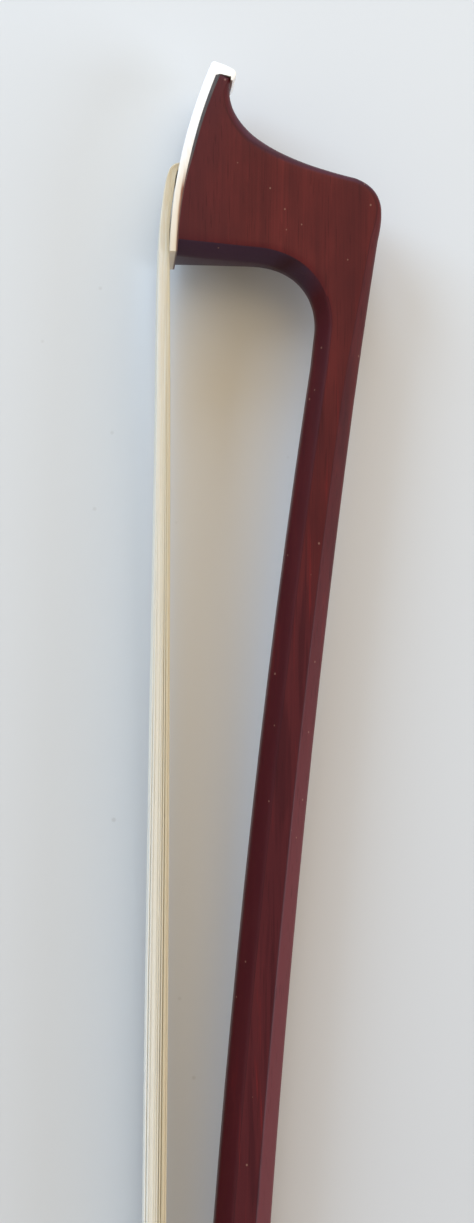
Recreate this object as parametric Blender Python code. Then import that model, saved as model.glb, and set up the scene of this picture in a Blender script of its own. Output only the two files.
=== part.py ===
# A full-size violin bow with its hair slack, lying on its side.
# +X runs from the head to the button along the hair, +Y from the hair to the
# stick's back and +Z up. The origin is in the middle of the bow, on the floor.

import math

import bmesh
import bpy
from mathutils import Matrix, Vector

# Sizes below are in millimetres. A mesh becomes metres when its object is made.
MM = 0.001
GAP = 0.3  # kept between pieces that touch on the real bow
THIN_GAP = 0.2  # the same between the thin layers under the head plate

# The bow as a whole, measured from the head plate's corner at the throat.
CENTRE = Vector((348.3, 13.1, -6.7))  # of the bow, at the height of its rest
HAIR_LEVEL = -1.25  # the middle of the hair ribbon by the head
HAIR_LEVEL_SLACK = -1.3  # and along the free part
HAIR_THICKNESS = 0.9  # where it is bound or held flat
HAIR_THICKNESS_SLACK = 1.5
HAIR_WIDTH_HEAD = 6.4
HAIR_WIDTH = 9.6

# Stick: one camber from the head to the handle, then straight.
HEAD_ROOT = Vector((2.0, 20.8))
HEAD_SLOPE = -0.145
HEAD_LEVER = 160.0
HANDLE_LEVER = 240.0
HANDLE_START = 590.0
HANDLE_SLOPE = 0.0574
STICK_END = 706.5
FERRULE_X = 652.0  # where the handle's own frame has its origin
FERRULE_AXIS_Y = 20.0
HANDLE_THICKNESS = 8.6
TAPER = (-2.38, 3.87, 100.0)  # thickness = a + b * log10(c + x)
CAMBER_STATIONS = 34
FACET = math.tan(math.pi / 8)  # an octagon's facet for a thickness of 1
NIPPLE_RADIUS = 2.5
NIPPLE_LENGTH = 3.0

# Head.
THROAT_X = -0.9
NOSE_X = -22.8
NOSE_LEAN = Vector((0.25, 0.968))  # of the wooden nose's end, under the beak
PLATE_LEVEL = -0.47
PLATE_SWEEP = 0.0086
PLATE_THICKNESS = 0.9
PLATE_THICKNESS_THROAT = 0.6
PLATE_FULL_X = -13.0  # from here to the beak it has its full thickness
LINER_THICKNESS = 0.25
PLATE_HALF_WIDTH = 5.3
PLATE_NARROWING = 2.7
RIDGE_HALF_WIDTH = 2.75
RIDGE_HEIGHT = 22.0
BEAK_TIP_X = -23.9
# Bevels by the number of steps round the head, from the stick to the nose and foot.
BACK_BEVEL = [(0, 1.5), (10, 0.5), (15, 0.6), (21, 1.1), (28, 0.5)]
THROAT_BEVEL = [(0, 1.6), (13, 1.4), (28, 1.4)]
THROAT_BEVEL_ACROSS = [(0, 1.6), (13, 2.4), (28, 2.6)]
MORTISE_MIDDLE = -8.3
MORTISE_LENGTH = 7.4
MORTISE_HALF_WIDTH = 3.3
MORTISE_DEPTH = 7.6  # from the plate's outer face

# Frog, in the handle's frame: u along the handle, v from the hair to the stick.
FERRULE_FRONT = 4.0
FERRULE_BACK = 16.0
FERRULE_HALF_WIDTH = 6.7
FERRULE_FLAT = -21.1
FERRULE_CROWN = -14.6
FERRULE_WALL = 0.6
FERRULE_WAIST = -19.3  # height of the D's widest place
FROG_FRONT = 11.8
HEEL = 49.0
HEEL_HALF_WIDTH = 5.35
CHEEK_HALF_WIDTH = 4.4
RAIL_HALF_WIDTH = 5.2
RAIL_TOP = -3.1
THROAT_CENTRE = Vector((12.2, -10.2))
THROAT_RADIUS = 6.0
SLIDE_FRONT = 16.7
SLIDE_BACK = 41.0
SLIDE_HALF_FRONT = 4.4
SLIDE_HALF_BACK = 3.6
UNDERSLIDE_THICKNESS = 0.45
METAL = 0.6  # thickness of the heel plate
HEEL_PLATE_FRONT = 41.4
HEEL_PLATE_TOP = -11.2
FROG_MORTISE = (20.5, 28.5)
FROG_MORTISE_FLOOR = -11.0
FROG_MORTISE_HALF_WIDTH = 3.6
HAIR_IN_FROG = -18.3
EYE_PLACE = Vector((31.0, -11.3))
EYE_RADIUS = 2.9
EYE_RING_INNER = 3.2
EYE_RING_OUTER = 4.2
EYE_FACE = 4.55
EYE_DEPTH = 1.1

# Screw, eyelet and button.
SCREW_RADIUS = 1.4
SCREW_TIP = -15.4
SCREW_BORE_END = -17.0
EYELET_FRONT = 27.4
EYELET_LENGTH = 5.6
EYELET_HALF_WIDTH = 2.1
STEM_RADIUS = 1.8
STEM_BOTTOM = -10.8
SLOT = (25.5, 40.0)
SLOT_HALF_WIDTH = 2.4
BUTTON_THICKNESS = 8.9
COLLAR_FRONT_LENGTH = 3.5
CORE_LENGTH = 6.4
COLLAR_BACK_LENGTH = 3.0
BUTTON_EYE_RADIUS = 2.3

# Grip: a leather thumb piece, then two flat strips wound side by side.
LEATHER = (-19.5, 9.5)
LEATHER_THICKNESS = 1.25
WINDING_TURNS = 24
WINDING_PITCH = 2.8
WINDING_END = -20.4
STRIP_WIDTH = 1.0
STRIP_THICKNESS = 0.5
POINTS_PER_TURN = 16


def remove_all_objects():
    for thing in list(bpy.data.objects):
        bpy.data.objects.remove(thing)


def finish(name, colour, roughness, metallic=0.0):
    """A material with the piece's own colour and sheen."""
    made = bpy.data.materials.new(name)
    made.use_nodes = True
    shader = made.node_tree.nodes["Principled BSDF"]
    shader.inputs["Base Color"].default_value = (*colour, 1.0)
    shader.inputs["Roughness"].default_value = roughness
    shader.inputs["Metallic"].default_value = metallic
    return made


def add_object(name, shape, material, parent, smooth=None):
    """Closes a bmesh made in millimetres as an object in metres."""
    bmesh.ops.recalc_face_normals(shape, faces=shape.faces)
    if shape.calc_volume(signed=True) < 0.0:
        bmesh.ops.reverse_faces(shape, faces=shape.faces)
    bmesh.ops.scale(shape, vec=(MM, MM, MM), verts=shape.verts)
    mesh = bpy.data.meshes.new(name)
    shape.to_mesh(mesh)
    shape.free()
    if smooth is not None:
        mesh.shade_smooth()
        mesh.set_sharp_from_angle(angle=math.radians(smooth))
    made = bpy.data.objects.new(name, mesh)
    bpy.context.collection.objects.link(made)
    made.parent = parent
    if material:
        made.data.materials.append(material)
    return made


def add_empty(name, place, turn=0.0, parent=None):
    made = bpy.data.objects.new(name, None)
    bpy.context.collection.objects.link(made)
    made.location = Vector(place) * MM
    made.rotation_euler = (0.0, 0.0, turn)
    made.parent = parent
    return made


def use_boolean(target, shape, operation="DIFFERENCE"):
    """Cuts, joins or keeps the common part with a hidden tool shape."""
    tool = add_object(f"{target.name}_tool", shape, None, target.parent)
    tool.hide_render = True
    tool.display_type = "WIRE"
    change = target.modifiers.new(operation.lower(), "BOOLEAN")
    change.operation = operation
    change.object = tool


def loft(rings, closed=False):
    """Joins rings of equal length; an open run gets a cap at either end."""
    shape = bmesh.new()
    made = [[shape.verts.new(p) for p in ring] for ring in rings]
    pairs = list(zip(made, made[1:]))
    if closed:
        pairs.append((made[-1], made[0]))
    count = len(made[0])
    for first, second in pairs:
        for i in range(count):
            k = (i + 1) % count
            shape.faces.new((first[i], first[k], second[k], second[i]))
    if not closed:
        shape.faces.new(made[0])
        shape.faces.new(made[-1])
    return shape


def in_triangles(shape):
    """Splits the twisted faces of a loft, so that each one is flat for a cut."""
    twisted = [face for face in shape.faces if len(face.verts) == 4]
    bmesh.ops.triangulate(shape, faces=twisted)
    return shape


def prism(outline, low, high, axis="z"):
    """Extrudes a flat outline between two heights along z, or along u (x)."""
    if axis == "z":
        return loft([[(a, b, h) for a, b in outline] for h in (low, high)])
    return loft([[(h, a, b) for a, b in outline] for h in (low, high)])


def box(x, y, z):
    return prism([(x[0], y[0]), (x[1], y[0]), (x[1], y[1]), (x[0], y[1])], *z)


def circle(radius, sides, centre=(0.0, 0.0)):
    turn = math.tau / sides
    return [
        (
            centre[0] + radius * math.cos(i * turn),
            centre[1] + radius * math.sin(i * turn),
        )
        for i in range(sides)
    ]


def rod(radius, start, end, sides=20):
    """A round bar along u on the handle's axis."""
    return prism(circle(radius, sides), start, end, axis="u")


def upright(radius, centre, low, high, sides=20):
    """A round bar along v, such as the eyelet's stem."""
    return loft(
        [[(centre + a, v, b) for a, b in circle(radius, sides)] for v in (low, high)]
    )


def bezier(points, t):
    a, b, c, d = points
    s = 1.0 - t
    return a * s**3 + b * 3 * s * s * t + c * 3 * s * t * t + d * t**3


def interpolate(stops, at):
    for (x0, y0), (x1, y1) in zip(stops, stops[1:]):
        if at <= x1:
            return y0 + (y1 - y0) * max(0.0, (at - x0) / (x1 - x0))
    return stops[-1][1]


def smooth_step(value):
    value = min(1.0, max(0.0, value))
    return value * value * (3.0 - 2.0 * value)


def unit_normal(tangent):
    return Vector((-tangent.y, tangent.x)).normalized()


# The stick


def handle_axis_y(x):
    return FERRULE_AXIS_Y + (x - FERRULE_X) * HANDLE_SLOPE


def camber_points():
    start = HEAD_ROOT
    end = Vector((HANDLE_START, handle_axis_y(HANDLE_START)))
    lead = Vector((1.0, HEAD_SLOPE)) * HEAD_LEVER
    tail = Vector((1.0, HANDLE_SLOPE)) * HANDLE_LEVER
    return start, start + lead, end - tail, end


def camber_at(x):
    """The axis point above a place along the bow, and the way it runs there."""
    if x >= HANDLE_START:
        return Vector((x, handle_axis_y(x))), Vector((1.0, HANDLE_SLOPE)).normalized()
    if x <= HEAD_ROOT.x:
        back = Vector((1.0, HEAD_SLOPE))
        return HEAD_ROOT + back * (x - HEAD_ROOT.x), back.normalized()
    points = camber_points()
    low, high = 0.0, 1.0
    for _ in range(40):
        middle = (low + high) / 2
        if bezier(points, middle).x < x:
            low = middle
        else:
            high = middle
    step = 1e-4
    run = bezier(points, low + step) - bezier(points, low - step)
    return bezier(points, low), run.normalized()


def stick_thickness(x):
    a, b, c = TAPER
    return min(HANDLE_THICKNESS, a + b * math.log10(c + max(x, 0.0)))


def bevel_of(thickness):
    return thickness / 2 * (1.0 - FACET)


def plate_outer(x):
    return PLATE_LEVEL + PLATE_SWEEP * x * x


def plate_point(x, offset):
    """A point that lies this far inside the head plate's outer face."""
    inward = unit_normal(Vector((1.0, 2 * PLATE_SWEEP * x)))
    return Vector((x, plate_outer(x))) + inward * offset


def plate_thickness(x):
    stops = [(PLATE_FULL_X, PLATE_THICKNESS), (THROAT_X, PLATE_THICKNESS_THROAT)]
    return interpolate(stops, x)


def seat_offset(x):
    return plate_thickness(x) + LINER_THICKNESS + 2 * THIN_GAP


def plate_half_width(x):
    along = min(1.0, max(0.0, (THROAT_X - x) / (THROAT_X - BEAK_TIP_X)))
    return PLATE_HALF_WIDTH - PLATE_NARROWING * along**1.6


def cheek_half_width(point):
    """Half the head's thickness at a point of its side outline."""
    stick = stick_thickness(point.x) / 2
    seat = seat_offset(point.x)
    height = point.y - plate_outer(point.x) - seat
    rise = min(1.0, max(0.0, height / (RIDGE_HEIGHT - seat)))
    low = plate_half_width(point.x)
    ridge = min(RIDGE_HALF_WIDTH, low - 0.2)
    head = ridge + (low - ridge) * (1.0 - rise) ** 1.8
    blend = smooth_step((16.0 - point.x) / 11.0)
    return stick + (head - stick) * blend


def head_outlines():
    """Back and front of the head, and its underside and throat, in pairs."""
    back = [camber_at(x) for x in (11.0, 6.5, 2.0)]
    outer = [p + unit_normal(t) * stick_thickness(p.x) / 2 for p, t in back]
    shoulder, run = camber_at(-3.5)
    shoulder = shoulder + unit_normal(run) * stick_thickness(0.0) / 2
    brow = Vector((-10.4, 21.4))
    peak = (shoulder, Vector((-6.6, 25.0)), Vector((-9.2, 24.8)), brow)
    front = (brow, Vector((-12.2, 13.4)), Vector((-15.6, 5.0)), Vector((-22.2, 6.75)))
    outer += [bezier(peak, i / 10) for i in range(11)]
    outer += [bezier(front, i / 14) for i in range(1, 15)]
    outer.append(Vector((-24.4, 5.0)))

    under, run = camber_at(12.0)
    inner = [under - unit_normal(run) * stick_thickness(12.0) / 2]
    crook = Vector((THROAT_X + 0.5, 9.8))
    arch = (Vector((8.2, 17.0)), Vector((3.9, 17.6)), Vector((0.0, 15.2)), crook)
    inner += [bezier(arch, i / 12) for i in range(13)]
    foot = Vector((THROAT_X, -1.2))
    steps = len(outer) - len(inner)
    inner += [crook.lerp(foot, (i + 1) / steps) for i in range(steps)]
    return outer, inner


def stick_section(outer, inner, outer_in, inner_in, outer_bevel, inner_bevel, inner_side):
    """Eight-sided ring from the back to the underside, with three cheek points.

    The inner bevels can reach further across the underside than up the cheeks.
    """
    first = outer + outer_in * outer_bevel
    last = inner + inner_in * inner_bevel
    top = cheek_half_width(first)
    low = cheek_half_width(last)
    side = [(outer, top - outer_bevel), (first, top)]
    for share in (0.25, 0.5, 0.75):
        between = first.lerp(last, share)
        side.append((between, cheek_half_width(between)))
    side += [(last, low), (inner, low - inner_side)]
    right = [(p.x, p.y, half) for p, half in side]
    left = [(p.x, p.y, -half) for p, half in reversed(side)]
    return right + left


def stick_blank():
    outer, inner, outer_bevels, inner_bevels, inner_sides = [], [], [], [], []
    places = [STICK_END, HANDLE_START]
    step = (HANDLE_START - 16.0) / CAMBER_STATIONS
    places += [HANDLE_START - step * (i + 1) for i in range(CAMBER_STATIONS)]
    for x in places:
        centre, run = camber_at(x)
        half = stick_thickness(x) / 2
        outer.append(centre + unit_normal(run) * half)
        inner.append(centre - unit_normal(run) * half)
        for bevels in (outer_bevels, inner_bevels, inner_sides):
            bevels.append(bevel_of(half * 2))
    head_outer, head_inner = head_outlines()
    for i in range(len(head_outer)):
        outer_bevels.append(interpolate(BACK_BEVEL, i))
        inner_bevels.append(interpolate(THROAT_BEVEL, i))
        inner_sides.append(interpolate(THROAT_BEVEL_ACROSS, i))
    outer += head_outer
    inner += head_inner

    def inward(line, i, side):
        run = line[max(i - 1, 0)] - line[min(i + 1, len(line) - 1)]
        return unit_normal(run) * side

    rings = [
        stick_section(
            outer[i],
            inner[i],
            inward(outer, i, -1.0),
            inward(inner, i, 1.0),
            outer_bevels[i],
            inner_bevels[i],
            inner_sides[i],
        )
        for i in range(len(outer))
    ]
    return in_triangles(loft(rings))


def plate_frame(x):
    """Axes at a place on the head plate: along it, into the wood, sideways."""
    run = Vector((1.0, 2 * PLATE_SWEEP * x)).normalized()
    place = Matrix.Translation((x, plate_outer(x), 0.0))
    return place @ Matrix.Rotation(math.atan2(run.y, run.x), 4, "Z")


def in_plate_frame(shape, x=MORTISE_MIDDLE):
    bmesh.ops.transform(shape, matrix=plate_frame(x), verts=shape.verts)
    return shape


def layer_curve(depth, start=THROAT_X, end=NOSE_X, steps=9):
    """The side line of a layer's face, this deep below the plate's inner face."""
    places = [start + (end - start) * i / steps for i in range(steps + 1)]
    return [plate_point(x, plate_thickness(x) + depth) for x in places]


def plate_plan(grow=0.0):
    """The head plate's outline seen from the hair, as a tool along y."""
    places = [THROAT_X + 3.0, THROAT_X]
    places += [THROAT_X + (BEAK_TIP_X - THROAT_X) * i / 9 for i in range(1, 10)]
    half = [(x, plate_half_width(x) + grow) for x in places]
    outline = half + [(BEAK_TIP_X - 1.5, half[-1][1] - 1.2)]
    outline += [(x, -w) for x, w in reversed(outline)]
    return loft([[(x, y, z) for x, z in outline] for y in (-6.0, 14.0)])


def make_stick(bow, wood):
    stick = add_object("stick", stick_blank(), wood, bow, smooth=20.0)
    seat = layer_curve(LINER_THICKNESS + 2 * THIN_GAP, THROAT_X + 3.0)
    outline = [tuple(p) for p in seat]
    outline.append(tuple(seat[-1] + NOSE_LEAN * 10.0))
    outline += [(-32.0, 14.0), (-32.0, -8.0), (THROAT_X + 3.0, -8.0)]
    use_boolean(stick, prism(outline, -12.0, 12.0))
    use_boolean(stick, in_plate_frame(mortise_tool()))
    return stick


def mortise_tool():
    half = MORTISE_LENGTH / 2
    width = MORTISE_HALF_WIDTH
    return box((-half, half), (-3.0, MORTISE_DEPTH), (-width, width))


def fit_handle(stick, handle):
    """The nipple, the screw's bore and the eyelet's slot at the stick's end."""
    end = handle_u(STICK_END)
    tools = (
        (rod(NIPPLE_RADIUS, end - 1.0, end + NIPPLE_LENGTH), "UNION"),
        (rod(SCREW_RADIUS + 0.35, SCREW_BORE_END, end + 6.0), "DIFFERENCE"),
        (
            box(SLOT, (-8.0, SLOT_HALF_WIDTH), (-SLOT_HALF_WIDTH, SLOT_HALF_WIDTH)),
            "DIFFERENCE",
        ),
    )
    for shape, operation in tools:
        bmesh.ops.transform(shape, matrix=handle_matrix(), verts=shape.verts)
        use_boolean(stick, shape, operation)


def handle_matrix():
    place = Matrix.Translation((FERRULE_X, FERRULE_AXIS_Y, 0.0))
    return place @ Matrix.Rotation(math.atan(HANDLE_SLOPE), 4, "Z")


def handle_u(x):
    return (x - FERRULE_X) / math.cos(math.atan(HANDLE_SLOPE))


# The head's fittings


def make_liner(bow, ebony):
    near = layer_curve(THIN_GAP)
    far = layer_curve(THIN_GAP + LINER_THICKNESS)
    outline = [tuple(p) for p in near + far[::-1]]
    liner = prism(outline, -8.0, 8.0)
    liner = add_object("head_plate_liner", liner, ebony, bow, smooth=20.0)
    use_boolean(liner, plate_plan(), "INTERSECT")
    use_boolean(liner, in_plate_frame(mortise_tool()))


def make_plate(bow, bone):
    length = BEAK_TIP_X - THROAT_X
    outer = [plate_point(THROAT_X + length * i / 10, 0.0) for i in range(11)]
    inner = layer_curve(0.0)
    nose = plate_point(NOSE_X, seat_offset(NOSE_X))
    nose += Vector((-NOSE_LEAN.y, NOSE_LEAN.x)) * THIN_GAP
    beak = [
        Vector((BEAK_TIP_X + 0.05, plate_outer(BEAK_TIP_X) + 0.35)),
        Vector((-23.4, 6.05)),
        Vector((-22.95, 6.9)),
        Vector((-22.5, 7.3)),
        Vector((-21.9, 7.25)),
        Vector((-21.4, 7.0)),
        Vector((-21.4, 6.85)),
        Vector((-21.95, 6.95)),
        nose + NOSE_LEAN * 1.25,
        nose,
    ]
    outline = [tuple(p) for p in outer + beak + inner[::-1]]
    plate = prism(outline, -8.0, 8.0)
    plate = add_object("head_plate", plate, bone, bow, smooth=20.0)
    use_boolean(plate, plate_plan(), "INTERSECT")
    use_boolean(plate, in_plate_frame(mortise_tool()))


def make_tip_knot(bow, hair):
    """The bound knot on the mortise's floor, and the hair that rises from it."""
    front = -MORTISE_LENGTH / 2 + GAP
    half = HAIR_WIDTH_HEAD / 2 - 0.1
    floor = MORTISE_DEPTH - GAP
    outline = [
        (front, 0.6),
        (front + HAIR_THICKNESS, 0.6),
        (front + HAIR_THICKNESS, floor - 2.6),
        (front + 2.6, floor - 2.2),
        (front + 3.4, floor - 1.2),
        (front + 2.6, floor),
        (front, floor),
    ]
    shape = prism(outline, -half, half)
    add_object("hair_knot_tip", in_plate_frame(shape), hair, bow)


def make_tip_plug(bow, maple):
    """The wedge that fills the mortise behind the hair and locks the knot."""
    front = -MORTISE_LENGTH / 2 + 2 * GAP + HAIR_THICKNESS
    back = MORTISE_LENGTH / 2 - GAP
    half = MORTISE_HALF_WIDTH - GAP
    floor = MORTISE_DEPTH - 2.9
    outline = [(front, 0.5), (back, 0.5), (back - 0.3, floor), (front + 0.3, floor)]
    add_object("head_plug", in_plate_frame(prism(outline, -half, half)), maple, bow)


def ribbon_path():
    """Places on the middle of the hair, each with its width and thickness."""
    mouth = MORTISE_MIDDLE - MORTISE_LENGTH / 2 + GAP + HAIR_THICKNESS / 2
    start = plate_point(mouth, 0.2)
    path = [
        (start + Vector((-0.35, 0.0)), HAIR_WIDTH_HEAD),
        (plate_point(mouth - 0.1, -0.45), HAIR_WIDTH_HEAD),
        (plate_point(mouth + 0.7, -0.8), HAIR_WIDTH_HEAD + 0.2),
        (plate_point(mouth + 3.5, -0.95), HAIR_WIDTH_HEAD + 0.7),
        (plate_point(THROAT_X - 2.5, -0.85), HAIR_WIDTH_HEAD + 1.5),
        (Vector((THROAT_X + 3.0, HAIR_LEVEL)), HAIR_WIDTH_HEAD + 2.1),
    ]
    path = [(point, width, HAIR_THICKNESS) for point, width in path]
    for x, width in ((25.0, 9.4), (60.0, HAIR_WIDTH), (330.0, HAIR_WIDTH)):
        slack = smooth_step(x / 60.0)
        level = HAIR_LEVEL + (HAIR_LEVEL_SLACK - HAIR_LEVEL) * slack
        thickness = HAIR_THICKNESS + (HAIR_THICKNESS_SLACK - HAIR_THICKNESS) * slack
        path.append((Vector((x, level)), width, thickness))
    place = handle_matrix()
    inside = (
        (FERRULE_FRONT - 1.2, FERRULE_FLAT + FERRULE_WALL + GAP + 0.45, 9.8),
        (FERRULE_FRONT + 1.0, FERRULE_FLAT + FERRULE_WALL + GAP + 0.45, 9.8),
        (FERRULE_FRONT + 6.5, FERRULE_FLAT + FERRULE_WALL + GAP + 0.45, 9.4),
        (FERRULE_BACK - 0.6, HAIR_IN_FROG - 0.25, 7.2),
        (SLIDE_FRONT + 1.4, HAIR_IN_FROG, 7.0),
        (FROG_MORTISE[1] - 1.6, HAIR_IN_FROG, 6.6),
    )
    for u, v, width in inside:
        point = (place @ Vector((u, v, 0.0))).to_2d()
        path.append((point, width, HAIR_THICKNESS))
    return path


def make_ribbon(bow, hair):
    path = ribbon_path()
    rings = []
    for i, (point, width, thickness) in enumerate(path):
        before = path[max(i - 1, 0)][0]
        after = path[min(i + 1, len(path) - 1)][0]
        across = unit_normal(after - before) * thickness / 2
        near, far = point - across, point + across
        half = width / 2
        rings.append(
            [
                (near.x, near.y, -half + 0.4),
                (near.x, near.y, half - 0.4),
                (point.x, point.y, half),
                (far.x, far.y, half - 0.4),
                (far.x, far.y, -half + 0.4),
                (point.x, point.y, -half),
            ]
        )
    add_object("hair_ribbon", loft(rings), hair, bow, smooth=50.0)


# The grip


def octagon(thickness, rounding=0.0):
    """An octagon with flats toward the hair, or with a short cut at each corner."""
    radius = thickness / 2 / math.cos(math.pi / 8)
    points = []
    for i in range(8):
        middle = math.pi / 8 + i * math.pi / 4
        if not rounding:
            points.append((radius * math.cos(middle), radius * math.sin(middle)))
            continue
        for side in (-1.0, 1.0):
            turn = middle + side * rounding
            reach = thickness / 2 / math.cos(math.pi / 8 - rounding)
            points.append((reach * math.cos(turn), reach * math.sin(turn)))
    return points


def grip_ring(x, thickness_over, rounding):
    """A ring round the stick at x, this much thicker than the wood."""
    centre, run = camber_at(x)
    up = unit_normal(run)
    thickness = stick_thickness(x) + thickness_over
    return [
        (centre.x + up.x * a, centre.y + up.y * a, b)
        for a, b in octagon(thickness, rounding)
    ]


def make_leather(bow, leather):
    start = FERRULE_X + LEATHER[0]
    end = FERRULE_X + LEATHER[1]
    over = 2 * GAP
    full = over + 2 * LEATHER_THICKNESS
    outer = (
        (start, over + 0.9),
        (start + 1.0, full - 0.8),
        (start + 3.0, full - 0.2),
        ((start + end) / 2, full + 0.1),
        (end - 3.0, full),
        (end - 1.0, full - 0.6),
        (end, over + 1.0),
    )
    rings = [grip_ring(x, more, math.radians(9.0)) for x, more in outer]
    inner = [grip_ring(x, over, math.radians(9.0)) for x in (end, start)]
    shape = loft(rings + inner, closed=True)
    add_object("thumb_leather", shape, leather, bow, smooth=40.0)


def strip_ring(angle_index, start_shift):
    """The four corners of a wound strip, at one bend over the stick's edges."""
    turns = angle_index / POINTS_PER_TURN
    x = FERRULE_X + WINDING_END - turns * WINDING_PITCH - start_shift
    centre, run = camber_at(x)
    up = unit_normal(run)
    low = stick_thickness(x) + 2 * GAP
    ring = []
    for along, over in ((-0.5, 0.0), (0.5, 0.0), (0.5, 1.0), (-0.5, 1.0)):
        shape = octagon(low + over * 2 * STRIP_THICKNESS, math.radians(9.0))
        a, b = shape[angle_index % POINTS_PER_TURN]
        place = centre + run * along * STRIP_WIDTH + up * a
        ring.append(Vector((place.x, place.y, b)))
    return ring


def least_gap(rings):
    """Smallest clear width between one turn of a strip and the next."""
    edges = [
        (rings[i][1] - rings[i + POINTS_PER_TURN][0]).length
        for i in range(len(rings) - POINTS_PER_TURN)
    ]
    turns = [
        (rings[i][0] - rings[i + POINTS_PER_TURN][1]).length
        for i in range(len(rings) - POINTS_PER_TURN)
    ]
    return min(edges + turns)


def make_windings(bow, dark, light):
    count = WINDING_TURNS * POINTS_PER_TURN + 1
    for name, material, shift in (
        ("winding_dark", dark, 0.0),
        ("winding_light", light, WINDING_PITCH / 2),
    ):
        rings = [strip_ring(i, shift) for i in range(count)]
        print(f"{name}: least gap between turns {least_gap(rings):.2f} mm")
        add_object(name, loft(rings), material, bow, smooth=40.0)


# The frog


def bottom_half_width(u):
    share = (u - FERRULE_BACK) / (HEEL - FERRULE_BACK)
    return FERRULE_HALF_WIDTH + (HEEL_HALF_WIDTH - FERRULE_HALF_WIDTH) * share


def frog_half_width(u, v):
    """A hollow cheek that flares to the rail above and the ferrule's D below."""
    cheek = CHEEK_HALF_WIDTH
    if v > -7.5:
        flare = RAIL_HALF_WIDTH - cheek
        cheek += flare * smooth_step((v + 7.5) / 3.0)
    if v <= FERRULE_WAIST:
        corner = max(0.0, FERRULE_WAIST - 0.9 - v)
        return bottom_half_width(u) - 0.75 * corner
    rise = (v - FERRULE_WAIST) / (FERRULE_CROWN - FERRULE_WAIST)
    round_side = bottom_half_width(u) * math.sqrt(max(0.0, 1.0 - rise * rise))
    return max(cheek, round_side)


def frog_front(v):
    """The throat's scoop, from the ferrule's back edge to the thumb's lip."""
    if v > -4.2:
        return FROG_FRONT
    if v < FERRULE_CROWN + 0.2:
        return FERRULE_BACK + GAP
    rise = v - THROAT_CENTRE.y
    return THROAT_CENTRE.x + math.sqrt(max(0.0, THROAT_RADIUS**2 - rise * rise))


def frog_back(v):
    return HEEL - 1.2 * smooth_step((v + 10.5) / 6.0)


def frog_blank():
    heights = [FERRULE_FLAT, -20.2, FERRULE_WAIST, -18.2, -17.2, -16.4, -15.7, -15.0]
    heights += [-14.3, -12.8, -11.2, -9.6, -8.0, -6.6, -5.4, -4.2, RAIL_TOP]
    rings = []
    for v in heights:
        front, back = frog_front(v), frog_back(v)
        places = [front + (back - front) * i / 6 for i in range(7)]
        soft = 0.5 if v > FERRULE_CROWN else 0.0
        side = [(front, frog_half_width(front, v) - soft)]
        side.append((front + 0.01 + soft, frog_half_width(front, v)))
        side += [(u, frog_half_width(u, v)) for u in places[1:]]
        ring = [(u, v, half) for u, half in side]
        ring += [(u, v, -half) for u, half in reversed(side)]
        rings.append(ring)
    return in_triangles(loft(rings))


def ferrule_outline(inset, floor=FERRULE_FLAT, arc_steps=12):
    """The ferrule's D: flat toward the hair, a half ellipse toward the stick."""
    wide = FERRULE_HALF_WIDTH - inset
    tall = FERRULE_CROWN - FERRULE_WAIST - inset
    start = math.asin(max(0.0, (floor - FERRULE_WAIST) / tall))
    points = []
    for i in range(arc_steps + 1):
        turn = start + (math.pi - 2 * start) * i / arc_steps
        points.append((FERRULE_WAIST + tall * math.sin(turn), wide * math.cos(turn)))
    if floor < FERRULE_WAIST:
        cut = 0.9 - inset / 2
        points.append((floor + cut, -wide))
        points.append((floor, -wide + cut))
        points.append((floor, wide - cut))
        points.append((floor + cut, wide))
    return points


def make_ferrule(frog, metal):
    outer = ferrule_outline(0.0)
    inner = ferrule_outline(FERRULE_WALL, FERRULE_FLAT + FERRULE_WALL)
    ends = (FERRULE_FRONT, FERRULE_BACK)
    rings = [[(u, a, b) for a, b in outer] for u in ends]
    rings += [[(u, a, b) for a, b in inner] for u in reversed(ends)]
    add_object("ferrule", loft(rings, closed=True), metal, frog, smooth=35.0)


def dovetail(front, back, top_extra, v_low, v_high, shrink=0.0):
    """A tapering slide whose sides lean out toward the stick."""
    rings = []
    for u, half in (front, back):
        low = half - shrink
        high = half + top_extra - shrink
        rings.append(
            [(u, v_low, -low), (u, v_low, low), (u, v_high, high), (u, v_high, -high)]
        )
    return loft(rings)


def slide_ends(extra=0.0):
    return (
        (SLIDE_FRONT - extra, SLIDE_HALF_FRONT),
        (SLIDE_BACK + extra, SLIDE_HALF_BACK),
    )


def heel_plate_outline(grow=0.0):
    low = FERRULE_FLAT - grow * 3
    back = HEEL + grow * 3
    inner_u = HEEL - METAL - grow
    inner_v = FERRULE_FLAT + METAL + grow
    top = HEEL_PLATE_TOP + grow
    front = HEEL_PLATE_FRONT - grow
    return [
        (front, low),
        (back, low),
        (back, top),
        (inner_u, top),
        (inner_u, inner_v),
        (front, inner_v),
    ]


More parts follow.
